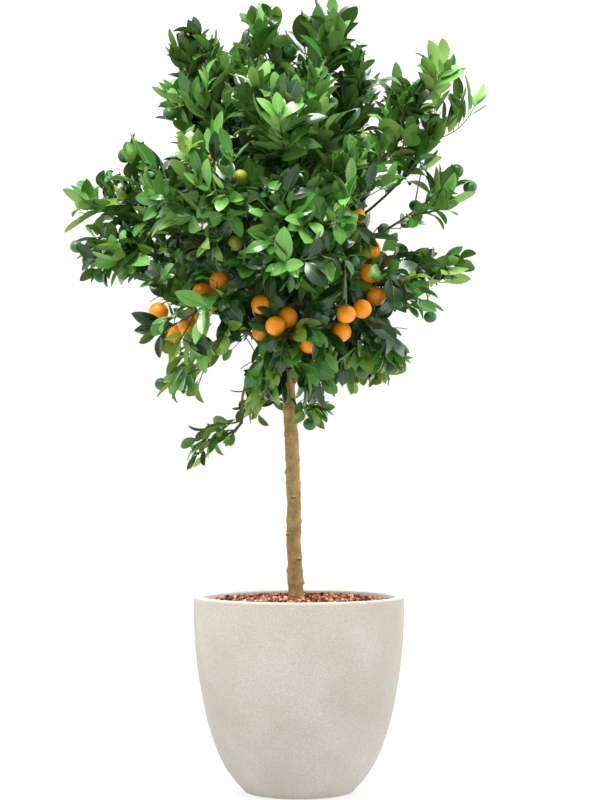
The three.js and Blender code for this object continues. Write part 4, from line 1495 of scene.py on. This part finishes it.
class CITRUS_OT_granules(bpy.types.Operator):
    """Strews broken clay granules over the soil"""

    bl_idname = "citrus.granules"
    bl_label = "Clay granules"

    def execute(self, context):
        settings = context.scene.citrus_granules
        chance = random.Random(21)
        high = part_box("granules")[1]
        reach = high.x - settings.size * CHIP_INSET
        shares = [share for _, _, share in CLAY_SHADES]
        places, turns, sizes, shapes, kinds = [], [], [], [], []
        while len(places) < settings.count:
            radius, turn = reach * math.sqrt(chance.random()), chance.uniform(0, 2 * math.pi)
            x, y = radius * math.cos(turn), radius * math.sin(turn)
            if math.hypot(x - TRUNK_LINE[0][0] * MM, y) < STEM_OPENING:
                continue
            hollow = noise.noise(Vector((x, y, 0)) * HOLLOWS) * HOLLOW_DEPTH
            mound = MOUND * (1 - (radius / reach) ** MOUND_POWER) + hollow
            deep = chance.random() * LAYER_DEPTH
            places.append((x, y, high.z - LAYER_DROP + mound - deep))
            turns.append([chance.uniform(0, 2 * math.pi) for _ in range(3)])
            sizes.append(settings.size * chance.choice(CHIP_SIZES) * chance.uniform(*CHIP_SIZE_CHANCE))
            shapes.append(chance.randrange(CHIP_SHAPES))
            kinds.append(chance.choices(range(len(CLAY_SHADES)), shares)[0])
        chips = shape_collection("clay_chips", [clay_chip(i) for i in range(CHIP_SHAPES)])
        tree = scatter_tree("Strew chips", clay_finishes(settings))
        source = points_object(
            "chip_places",
            places,
            turn=("FLOAT_VECTOR", turns),
            size=("FLOAT", sizes),
            shape=("INT", shapes),
            kind=("INT", kinds),
        )
        layer = made_by(tree, source, "clay_granules", Shapes=chips, Size=1.0)
        drop_collection(chips)
        placed(layer, "clay_granules", "granules")
        return {"FINISHED"}


def clay_chip(number):
    """An angular chip, one across: the hull of a few points near a flattened ball."""
    chance = random.Random(300 + number)
    mesh = bpy.data.meshes.new(f"chip_{number}")
    points = []
    for _ in range(CHIP_POINTS):
        way = Vector([chance.gauss(0, 1) for _ in range(3)]).normalized()
        way = Vector([part * flatness for part, flatness in zip(way, CHIP_FLATNESS)])
        points.append(way * 0.5 * chance.uniform(0.8, 1.1))
    build = hull_of(points)
    build.to_mesh(mesh)
    build.free()
    add_attribute(mesh, "side", "INT", "FACE", [0] * len(mesh.polygons))
    thing = bpy.data.objects.new(f"chip_{number}", mesh)
    bpy.context.scene.collection.objects.link(thing)
    return thing


def hull_of(points):
    """The convex hull of these points, to be freed after use."""
    build = bmesh.new()
    for point in points:
        build.verts.new(point)
    bmesh.ops.convex_hull(build, input=build.verts)
    loose = [v for v in build.verts if not v.link_faces]
    bmesh.ops.delete(build, geom=loose, context="VERTS")
    return build


# ---------------------------------------------------------------- trunk, boughs and twigs


def bark_finish(name, light, dark, fine):
    """Young smooth bark: matt, with fine lengthways fibres and darker blotches."""
    material, tree, shader = finish_material(name, light, 0.85)
    place = add_node(tree, "ShaderNodeTexCoord").outputs["Object"]
    stretched = add_node(tree, "ShaderNodeMapping", None, {"Vector": place, "Scale": (1, 1, 0.35)})
    fibres = add_node(
        tree,
        "ShaderNodeTexNoise",
        None,
        {"Vector": stretched.outputs["Vector"], "Scale": fine, "Detail": 5, "Roughness": 0.7},
    )
    blotches = add_node(tree, "ShaderNodeTexNoise", None, {"Vector": place, "Scale": 70, "Detail": 3})
    mixed = add_node(
        tree,
        "ShaderNodeMath",
        {"operation": "MULTIPLY_ADD"},
        {0: blotches.outputs["Fac"], 1: 0.5, 2: fibres.outputs["Fac"]},
    )
    ramp = add_node(tree, "ShaderNodeValToRGB", None, {"Fac": mixed.outputs[0]})
    ramp.color_ramp.elements[0].position = 0.5
    ramp.color_ramp.elements[0].color = (*dark, 1)
    ramp.color_ramp.elements[1].position = 0.95
    ramp.color_ramp.elements[1].color = (*[min(1, c * 1.5) for c in light[:3]], 1)
    ramp.color_ramp.elements.new(0.72).color = (*light[:3], 1)
    tree.links.new(ramp.outputs["Color"], shader.inputs["Base Color"])
    bump = add_node(
        tree, "ShaderNodeBump", None, {"Height": fibres.outputs["Fac"], "Strength": 0.6, "Distance": 0.0008}
    )
    tree.links.new(bump.outputs["Normal"], shader.inputs["Normal"])
    return material


# Swollen nodes where leaves once stood: share of the trunk's length, turn in degrees, height in millimetres
TRUNK_NODES = [(0.06 + 0.052 * i, 137.5 * i + 250, 1.0 + 0.7 * ((i * 7) % 4) / 3) for i in range(18)]
TRUNK_LENGTH = 403
SWELLING_LENGTH, SWELLING_ARC = 4.5, 0.5  # how far one reaches along the trunk, and round it in radians
SWELLING_ALL_ROUND, SWELLING_AT_BUD = 0.45, 0.9
TRUNK_SIDES, TRUNK_STEP = 80, 1.7
BOUGH_SIDES, BOUGH_STEP = 16, 3.2
COLLAR, COLLAR_LENGTH = 0.22, 9
BUD_INSET = 0.4


def trunk_relief(depth):
    """What the bark adds to the trunk's radius, in millimetres: waves, fibres and swollen nodes."""

    def relief(point, out, turn, share):
        place = Vector(point + out * 12)
        waves = noise.noise(place * 0.035) * 1.3
        fibres = noise.noise(Vector((place.x * 0.7, place.y * 0.7, place.z * 0.16))) * depth
        grain = noise.noise(place * 0.9) * depth * 0.5
        swelling = 0
        for along, degrees, size in TRUNK_NODES:
            up = (share - along) * TRUNK_LENGTH
            aside = (turn - math.radians(degrees) + math.pi) % (2 * math.pi) - math.pi
            at_bud = SWELLING_AT_BUD * math.exp(-((aside / SWELLING_ARC) ** 2))
            swelling += size * math.exp(-((up / SWELLING_LENGTH) ** 2)) * (SWELLING_ALL_ROUND + at_bud)
        return waves + fibres + grain + swelling - 0.5

    return relief


class CITRUS_OT_wood(bpy.types.Operator):
    """Makes the trunk and boughs with the bark's relief"""

    bl_idname = "citrus.wood"
    bl_label = "Trunk and boughs"

    def execute(self, context):
        settings = context.scene.citrus_wood
        grown = tree_of(context)
        relief = trunk_relief(settings.relief / MM)
        trunk = tube(grown["trunk"], trunk_radius, TRUNK_SIDES, TRUNK_STEP, relief)
        floor = SOIL_TOP.z + 0.0003
        trunk = ([(x, y, max(z, floor)) for x, y, z in trunk[0]], trunk[1])
        boughs = []
        for bough in grown["boughs"]:

            def swollen(share, bough=bough):
                """A collar where the bough leaves its parent."""
                return bough.radius(share) * (1 + COLLAR * math.exp(-share * bough.length / COLLAR_LENGTH))

            def ripples(point, out, turn, share):
                place = Vector(point + out * 4)
                return noise.noise(place * 0.07) * 0.7 + noise.noise(place * 0.5) * 0.25

            boughs.append(tube(bough, swollen, BOUGH_SIDES, BOUGH_STEP, ripples))
        vertices, faces, counts = joined([trunk, *boughs])
        bark = bark_finish("smooth_bark", settings.bark, linear("6f5233"), 900)
        young = bark_finish("young_bark", linear("6e6a3c"), linear("3c3b22"), 900)
        material_of = [0] * counts[0] + [1] * sum(counts[1:])
        wood = new_object("trunk_and_boughs", vertices, faces, [bark, young], material_of)
        replaced = [name for name in frame["nodes"] if name == "trunk" or name.startswith("bough_")]
        placed(wood, "bark", *replaced)
        return {"FINISHED"}


class CITRUS_OT_bud_scars(bpy.types.Operator):
    """Sets the pale buds and dark leaf scars on the trunk's swollen nodes"""

    bl_idname = "citrus.bud_scars"
    bl_label = "Buds and scars"

    def execute(self, context):
        settings = context.scene.citrus_wood
        grown = tree_of(context)
        trunk, relief = grown["trunk"], trunk_relief(settings.relief / MM)
        chance = random.Random(5)
        places, turns, sizes, shapes = [], [], [], []
        for along, degrees, _ in TRUNK_NODES:
            way = trunk.heading(along)
            across = leaving(trunk.heading(0), 0, math.pi / 2)
            across = unit(across - way * (across @ way))
            other = np.cross(way, across)
            turn = math.radians(degrees)
            out = across * math.cos(turn) + other * math.sin(turn)
            centre = trunk.at(along)
            surface = trunk_radius(along) + relief(centre, out, turn, along)
            places.append((centre + out * (surface - BUD_INSET)) * MM)
            turns.append(euler(unit(np.cross(way, out)), way, out))
            sizes.append(chance.uniform(0.75, 1.15))
            shapes.append(0)
        dome = new_object("bud_shape", *bud_shape())
        add_attribute(dome.data, "side", "INT", "FACE", bud_sides(dome.data))
        bud_shapes = shape_collection("bud_shapes", [dome])
        pale = finish_material("corky_bud", linear("cbb384"), 0.8)[0]  # dry cork, paler than the bark
        dark = finish_material("leaf_scar", linear("4b3623"), 0.95)[0]  # old, dried-out scar
        source = points_object(
            "bud_places",
            places,
            turn=("FLOAT_VECTOR", turns),
            size=("FLOAT", sizes),
            shape=("INT", shapes),
            kind=("INT", shapes),
        )
        tree = scatter_tree("Set buds", [(0, pale), (1, dark)])
        buds = made_by(tree, source, "bud_scars", Shapes=bud_shapes, Size=1.0)
        drop_collection(bud_shapes)
        placed(buds, "bark")
        return {"FINISHED"}


def bud_shape():
    """A low dome with a slanting ridge below it, in metres: X across the trunk, Y up it and Z outwards."""
    side = [(0.0021 * math.cos(t), 0.0014 * math.sin(t)) for t in np.linspace(-0.5, 1.3, 6)]
    dome = turned([(0, -0.0012), *side, (0, 0.0015)], 12)
    corners = (vec(-4.2, -2.4, 0.1), vec(0, -3.3, 0.75), vec(4.2, -2.3, 0.1))
    ridge = Limb(bezier(*corners, count=9), 0.7, 0.7)

    def ridge_radius(share):
        return 0.75 * math.sin(math.pi * mix(0.1, 0.9, share))

    vertices, faces, _ = joined([dome, tube(ridge, ridge_radius, 8, 0.9)])
    return vertices, faces


def bud_sides(mesh):
    """The finish of each face: 1 on the ridge, which is the scar, and 0 on the dome."""
    return [1 if polygon.center.y < -0.0021 else 0 for polygon in mesh.polygons]


class CITRUS_OT_twigs(bpy.types.Operator):
    """Draws the stems, twigs, shoots and fruit stalks"""

    bl_idname = "citrus.twigs"
    bl_label = "Twigs"

    def execute(self, context):
        settings = context.scene.citrus_wood
        grown = tree_of(context)
        places, edges, thickness, kinds = [], [], [], []
        for limb in grown["wood"]:
            count = max(3, min(9, round(limb.length / 14)))
            start = len(places)
            for i, point in enumerate(limb.samples(count)):
                places.append(point * MM)
                thickness.append(limb.radius(i / (count - 1)))
                kinds.append(limb.kind)
            edges += [(start + i, start + i + 1) for i in range(count - 1)]
        mesh = bpy.data.meshes.new("twig_lines")
        mesh.from_pydata([tuple(p) for p in places], edges, [])
        add_attribute(mesh, "thickness", "FLOAT", "POINT", thickness)
        add_attribute(mesh, "kind", "INT", "POINT", kinds)
        source = bpy.data.objects.new("twig_lines", mesh)
        context.scene.collection.objects.link(source)
        # Twigs a year old are smooth and dull, this year's shoots green and slightly waxy.
        older = finish_material("year_old_twig", linear("4c4f2b"), 0.7)[0]
        green = finish_material("green_shoot", settings.twig, 0.5)[0]
        tree = tube_tree("Draw twigs", [(OLDER, older), (GREEN, green)], 6)
        placed(made_by(tree, source, "twigs", Size=MM), "bough_bark")
        return {"FINISHED"}


# ---------------------------------------------------------------- leaves

# Shapes of leaf: how far it bends down, how steeply it folds, how its sides curl, its sickle and its breadth
LEAF_FORMS = [
    (0.35, 0.35, 0.1, 0.02, 1),
    (0.9, 0.5, 0.25, -0.03, 1.05),
    (-0.25, 0.55, 0.1, 0, 0.86),
    (1.3, 0.3, 0.3, 0.03, 0.96),
    (0.5, 0.2, 0.3, -0.02, 1.18),
    (0.1, 0.7, 0, 0.02, 0.8),
]
LEAF_STATIONS = (0.0, 0.09, 0.24, 0.42, 0.6, 0.77, 0.91, 1.0)
UPPER, RIB, UNDER, STALK = range(4)
RIB_HALF = 0.0005
BLADE_THICKNESS = 0.0005


def blade_half_width(share, width):
    power = 0.95 if share < 0.5 else 0.84
    return width / 2 * (4 * share * (1 - share)) ** power


def leaf_shape(number, length, width, stalk):
    """A thin closed blade, folded along its pale midrib, on its stalk, which starts at the origin."""
    bend, fold, curl, sickle, breadth = LEAF_FORMS[number]
    vertices, faces, sides = [], [], []

    def add(point):
        vertices.append(tuple(point))
        return len(vertices) - 1

    spine, place, last = [], vec(0, stalk, 0), 0.0
    for share in LEAF_STATIONS:
        slope = bend * mix(last, share, 0.5)
        place = place + vec(0, math.cos(slope), -math.sin(slope)) * (share - last) * length
        middle = place + vec(sickle * length * share**2, 0, 0)
        spine.append((middle, vec(0, math.sin(bend * share), math.cos(bend * share))))
        last = share
    upper, under = [], []
    for share, (middle, normal) in zip(LEAF_STATIONS, spine):
        half = blade_half_width(share, width * breadth)
        if half == 0:
            point = add(middle)
            upper.append([point] * 6)
            under.append([point] * 3)
            continue
        rib = min(0.45, RIB_HALF * (1.15 - share) / half)
        row = []
        for across in (-1, -0.55, -rib, rib, 0.55, 1):
            rise = half * (fold * abs(across) - curl * across**2 * fold * 2)
            row.append(add(middle + vec(across * half, 0, 0) + normal * rise))
        upper.append(row)
        below = add(middle - normal * BLADE_THICKNESS)
        under.append([row[0], below, row[-1]])
    for rows, flip in ((upper, False), (under, True)):
        for low, high in zip(rows, rows[1:]):
            for i in range(len(low) - 1):
                corners = list(dict.fromkeys([low[i], low[i + 1], high[i + 1], high[i]]))
                if len(corners) < 3:
                    continue
                faces.append(corners[::-1] if flip else corners)
                sides.append(UNDER if flip else RIB if i == 2 else UPPER)
    start = len(vertices)
    for end, radius, drop in ((0.0, 0.0009, 0.0), (stalk * 1.25, 0.0007, 0.0004)):
        for i in range(3):
            turn = math.radians(90 + 120 * i)
            add((radius * math.cos(turn), end, radius * math.sin(turn) - drop))
    for i in range(3):
        j = (i + 1) % 3
        faces.append((start + j, start + i, start + 3 + i, start + 3 + j))
    faces += [(start, start + 1, start + 2), (start + 5, start + 4, start + 3)]
    sides += [STALK] * 5
    leaf = new_object(f"leaf_{number}", vertices, faces)
    add_attribute(leaf.data, "side", "INT", "FACE", sides)
    edges = [[row[side] for row in upper] for side in (0, 5)]
    rim = {tuple(sorted(pair)) for edge in edges for pair in zip(edge, edge[1:])}
    sharp = [tuple(sorted(edge.vertices)) in rim for edge in leaf.data.edges]
    leaf.data.attributes.new("sharp_edge", "BOOLEAN", "EDGE").data.foreach_set("value", sharp)
    return leaf


def leaf_finishes():
    """Waxy upper sides, dull paler undersides, and pale ribs and stalks, in plain colours for each spray."""
    finishes = []
    for kind, (name, upper, under, _) in enumerate(LEAF_KINDS):
        waxy = finish_material(
            f"leaf_upper_{name}", linear(upper), 0.5, IOR=1.25, Coat_Weight=0.9, Coat_Roughness=0.2
        )[0]
        dull = finish_material(f"leaf_under_{name}", linear(under), 0.6, IOR=1.35)[0]
        rib = finish_material(f"leaf_rib_{name}", [c * 1.25 for c in linear(under)], 0.5)[0]
        for side, material in ((UPPER, waxy), (RIB, rib), (UNDER, dull), (STALK, rib)):
            finishes.append((kind * SIDES_PER_KIND + side, material))
    return finishes


class CITRUS_OT_leaves(bpy.types.Operator):
    """Sets the leaves on their shoots, in five pieces"""

    bl_idname = "citrus.leaves"
    bl_label = "Leaves"

    def execute(self, context):
        settings = context.scene.citrus_crown
        grown = tree_of(context)
        forms = [
            leaf_shape(i, settings.leaf_length, settings.leaf_width, settings.leaf_stalk)
            for i in range(LEAF_SHAPES)
        ]
        shapes = shape_collection("leaf_shapes", forms)
        tree = scatter_tree("Set leaves", leaf_finishes())
        for piece, names in LEAF_PIECES.items():
            leaves = [leaf for name in names for leaf in grown["leaves"][name]]
            source = points_object(
                f"{piece}_places",
                [leaf.root * MM for leaf in leaves],
                turn=("FLOAT_VECTOR", [leaf.turn() for leaf in leaves]),
                size=("FLOAT", [leaf.size for leaf in leaves]),
                shape=("INT", [leaf.shape for leaf in leaves]),
                kind=("INT", [leaf.kind for leaf in leaves]),
            )
            made = made_by(tree, source, piece, Shapes=shapes, Size=1.0)
            placed(made, "foliage", *[f"foliage_{name}" for name in names])
        drop_collection(shapes)
        return {"FINISHED"}


# ---------------------------------------------------------------- fruit


FRUIT_HEIGHT = 0.93  # against its width
TOP_DIMPLE = (0.24, 0.09)  # width and depth for a fruit of radius one
END_DIMPLE = (0.14, 0.04)
CALYX_POINTS = 5
CALYX_REACH, CALYX_WAIST = 0.27, 0.12  # at its points and between them
CALYX_DROOP = 0.032


def fruit_shape(name):
    """A slightly flattened round fruit, one in radius, dimpled at its stalk and at its other end."""
    profile = []
    for i in range(15):
        turn = math.pi * i / 14 - math.pi / 2
        radius, height = math.cos(turn), FRUIT_HEIGHT * math.sin(turn)
        near_top = math.exp(-((radius / TOP_DIMPLE[0]) ** 2)) if height > 0 else 0
        near_end = math.exp(-((radius / END_DIMPLE[0]) ** 2)) if height < 0 else 0
        height = height - TOP_DIMPLE[1] * near_top + END_DIMPLE[1] * near_end
        profile.append((0 if i in (0, 14) else radius, height))
    return new_object(name, *turned(profile, 24))


def calyx_shape(name):
    """The small green star that holds the fruit, with its disc, for a fruit of radius one."""
    count = CALYX_POINTS * 2
    vertices = [(0, 0, 0.93), (0, 0, 0.82)]
    for height in (0.9, 0.85):
        for i in range(count):
            turn = math.pi * i / CALYX_POINTS
            radius = CALYX_REACH if i % 2 == 0 else CALYX_WAIST
            droop = CALYX_DROOP * (radius / CALYX_REACH) ** 2
            vertices.append((radius * math.cos(turn), radius * math.sin(turn), height - droop))
    faces = []
    for i in range(count):
        j = (i + 1) % count
        faces.append((0, 2 + i, 2 + j))
        faces.append((1, 2 + count + j, 2 + count + i))
        faces.append((2 + i, 2 + count + i, 2 + count + j, 2 + j))
    return new_object(name, vertices, faces, smooth=False)


def peel_finish(name, colour, deeper, gloss):
    """Citrus peel: glossy, pitted with fine oil glands, and slightly uneven in colour."""
    material, tree, shader = finish_material(name, colour, gloss)
    place = add_node(tree, "ShaderNodeTexCoord").outputs["Object"]
    tint = add_node(tree, "ShaderNodeTexNoise", None, {"Vector": place, "Scale": 45, "Detail": 2})
    ramp = add_node(tree, "ShaderNodeValToRGB", None, {"Fac": tint.outputs["Fac"]})
    ramp.color_ramp.elements[0].position = 0.35
    ramp.color_ramp.elements[0].color = (*deeper, 1)
    ramp.color_ramp.elements[1].position = 0.65
    ramp.color_ramp.elements[1].color = (*colour[:3], 1)
    tree.links.new(ramp.outputs["Color"], shader.inputs["Base Color"])
    glands = add_node(tree, "ShaderNodeTexVoronoi", None, {"Vector": place, "Scale": 900})
    pits = {"Height": glands.outputs["Distance"], "Strength": 0.2, "Distance": 0.0004}
    bump = add_node(tree, "ShaderNodeBump", None, pits)
    tree.links.new(bump.outputs["Normal"], shader.inputs["Normal"])
    return material


class CITRUS_OT_fruit(bpy.types.Operator):
    """Hangs ripe and green fruit, each under its calyx"""

    bl_idname = "citrus.fruit"
    bl_label = "Fruit"

    def execute(self, context):
        settings = context.scene.citrus_fruit
        grown = tree_of(context)
        chance = random.Random(9)
        hung = {kind: [] for kind in FRUIT_KINDS}
        for mass in grown["masses"]:
            for (centre, kind), stalk in zip(mass.fruit, mass.stalks):
                up = unit(stalk.at(1) - centre)
                side = leaving(up, chance.uniform(0, 6), math.pi / 2)
                hung[kind].append((centre, FRUIT_KINDS[kind][0], euler(side, np.cross(up, side), up)))
        hung["ripe"] += hung.pop("peeping") + hung.pop("sheltered")
        peels = {
            "ripe": peel_finish("ripe_peel", settings.ripe, linear("f48c00"), 0.36),
            "turning": peel_finish("turning_peel", linear("b5b23a"), linear("8a9c34"), 0.38),
            "green": peel_finish("green_peel", settings.green, linear("2a5528"), 0.38),
        }
        calyx_green = finish_material("calyx", linear("6c8448"), 0.6)[0]  # dull, and greyer than the leaves
        every = [*hung["ripe"], *hung["turning"], *hung["green"]]
        groups = [
            ("fruit_ripe", hung["ripe"], fruit_shape("ripe_shape"), peels["ripe"], "ripe_fruit"),
            ("fruit_turning", hung["turning"], fruit_shape("turning_shape"), peels["turning"], "green_fruit"),
            ("fruit_green", hung["green"], fruit_shape("green_shape"), peels["green"], "green_fruit"),
            ("fruit_calyxes", every, calyx_shape("calyx_shape"), calyx_green, "foliage"),
        ]
        for name, places, shape, material, slot in groups:
            add_attribute(shape.data, "side", "INT", "FACE", [0] * len(shape.data.polygons))
            shapes = shape_collection(f"{name}_shapes", [shape])
            source = points_object(
                f"{name}_places",
                [centre * MM for centre, _, _ in places],
                turn=("FLOAT_VECTOR", [turn for _, _, turn in places]),
                size=("FLOAT", [radius * chance.uniform(0.93, 1.05) for _, radius, _ in places]),
                shape=("INT", [0] * len(places)),
                kind=("INT", [0] * len(places)),
            )
            tree = scatter_tree(f"Hang {name}", [(0, material)])
            made = made_by(tree, source, name, Shapes=shapes, Size=MM)
            drop_collection(shapes)
            placed(made, slot)
        return {"FINISHED"}


# ---------------------------------------------------------------- stage

CAMERA_SIDE = 0.0018
CAMERA_HEIGHT = 0.551
AIM_HEIGHT = 0.653
FIELD_OF_VIEW = 21.7  # degrees, from the bottom of the frame to its top
FLOOR_REACH, FLOOR_LEVEL = 30, -0.0005
FLOOR_CORNERS = [(-1, -1), (1, -1), (1, 1), (-1, 1)]
# name, place, the height on the stem's axis that it aims at, size and power
LIGHTS = [
    ("key_light", (-0.6, -1.5, 3.9), 0.9, 2.0, 210),
    ("left_light", (-3.2, 0.4, 1.6), 0.7, 1.8, 8),
    ("right_light", (3.2, 0.2, 1.4), 0.7, 1.8, 36),
    ("back_light", (0.6, 2.8, 3.0), 0.9, 2.0, 20),
]


def area_light(name, place, aim_height, size, power):
    light = bpy.data.lights.new(name, "AREA")
    light.shape = "DISK"
    light.size = size
    light.energy = power
    lamp = bpy.data.objects.new(name, light)
    lamp.location = place
    lamp.rotation_euler = (Vector((0, 0, aim_height)) - Vector(place)).to_track_quat("-Z", "Y").to_euler()
    bpy.context.scene.collection.objects.link(lamp)


def studio_world():
    """A white surround that lights the plant mostly from above and from behind."""
    world = bpy.data.worlds.new("studio")
    world.use_nodes = True
    tree = world.node_tree
    way = add_node(tree, "ShaderNodeTexCoord").outputs["Generated"]
    split = add_node(tree, "ShaderNodeSeparateXYZ", None, {"Vector": way})
    above = add_node(
        tree,
        "ShaderNodeMapRange",
        None,
        {"Value": split.outputs["Z"], "From Min": 0.0, "From Max": 1.0, "To Min": 0.04, "To Max": 1.45},
    )
    behind = add_node(
        tree,
        "ShaderNodeMapRange",
        None,
        {"Value": split.outputs["Y"], "From Min": -0.1, "From Max": 0.7, "To Min": 0.0, "To Max": 0.9},
    )
    both = {0: above.outputs["Result"], 1: behind.outputs["Result"]}
    glow = add_node(tree, "ShaderNodeMath", {"operation": "ADD"}, both)
    seen = add_node(tree, "ShaderNodeLightPath").outputs["Is Camera Ray"]
    strength = add_node(tree, "ShaderNodeMath", {"operation": "MAXIMUM"}, {0: glow.outputs[0], 1: seen})
    background = tree.nodes["Background"]
    background.inputs["Color"].default_value = (1, 1, 1, 1)
    tree.links.new(strength.outputs[0], background.inputs["Strength"])
    return world


class CITRUS_OT_stage(bpy.types.Operator):
    """Sets up the pale floor, the soft studio light and the camera"""

    bl_idname = "citrus.stage"
    bl_label = "Stage"

    def execute(self, context):
        settings = context.scene.citrus_stage
        scene = context.scene
        corners = [(FLOOR_REACH * x, FLOOR_REACH * y, FLOOR_LEVEL) for x, y in FLOOR_CORNERS]
        # A plain painted floor, lit from below so that it looks as white as the surround.
        glow = {"Emission_Color": (1, 1, 1, 1), "Emission_Strength": 0.72}
        painted = finish_material("pale_floor", settings.floor, 0.9, **glow)[0]
        floor = new_object("floor", corners, [(0, 1, 2, 3)], [painted])

        scene.world = studio_world()
        for light in LIGHTS:
            area_light(*light)

        camera = bpy.data.objects.new("camera", bpy.data.cameras.new("camera"))
        camera.data.sensor_fit = "VERTICAL"
        camera.data.angle = math.radians(FIELD_OF_VIEW)
        camera.location = (CAMERA_SIDE, -settings.distance, CAMERA_HEIGHT)
        aim = Vector((CAMERA_SIDE, 0, AIM_HEIGHT)) - camera.location
        camera.rotation_euler = aim.to_track_quat("-Z", "Y").to_euler()
        scene.collection.objects.link(camera)
        scene.camera = camera
        scene.view_settings.view_transform = "Standard"
        scene.view_settings.look = "None"
        return {"FINISHED"}


# ---------------------------------------------------------------- panel and registration

STEPS = [
    "citrus.stage",
    "citrus.planter",
    "citrus.soil",
    "citrus.granules",
    "citrus.wood",
    "citrus.bud_scars",
    "citrus.twigs",
    "citrus.leaves",
    "citrus.fruit",
]
SETTINGS = {
    "citrus_planter": CitrusPlanter,
    "citrus_granules": CitrusGranules,
    "citrus_wood": CitrusWood,
    "citrus_crown": CitrusCrown,
    "citrus_fruit": CitrusFruit,
    "citrus_stage": CitrusStage,
}


class CITRUS_PT_panel(bpy.types.Panel):
    """Lists the settings and the steps that make the tree"""

    bl_idname = "CITRUS_PT_panel"
    bl_label = "Calamondin Orange Tree"
    bl_space_type = "VIEW_3D"
    bl_region_type = "UI"
    bl_category = "Citrus"

    def draw(self, context):
        for name, group in SETTINGS.items():
            box = self.layout.box()
            for field in group.__annotations__:
                box.prop(getattr(context.scene, name), field)
        for step in STEPS:
            self.layout.operator(step)


CLASSES = [
    *SETTINGS.values(),
    CITRUS_OT_stage,
    CITRUS_OT_planter,
    CITRUS_OT_soil,
    CITRUS_OT_granules,
    CITRUS_OT_wood,
    CITRUS_OT_bud_scars,
    CITRUS_OT_twigs,
    CITRUS_OT_leaves,
    CITRUS_OT_fruit,
    CITRUS_PT_panel,
]


def register():
    for item in CLASSES:
        bpy.utils.register_class(item)
    for name, group in SETTINGS.items():
        setattr(bpy.types.Scene, name, bpy.props.PointerProperty(type=group))


def unregister():
    for name in SETTINGS:
        delattr(bpy.types.Scene, name)
    for item in reversed(CLASSES):
        bpy.utils.unregister_class(item)


def main():
    register()
    for step in STEPS:
        group, name = step.split(".")
        if getattr(getattr(bpy.ops, group), name)() != {"FINISHED"}:
            raise RuntimeError(f"{step} didn't finish")
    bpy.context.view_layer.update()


if __name__ == "__main__":
    main()
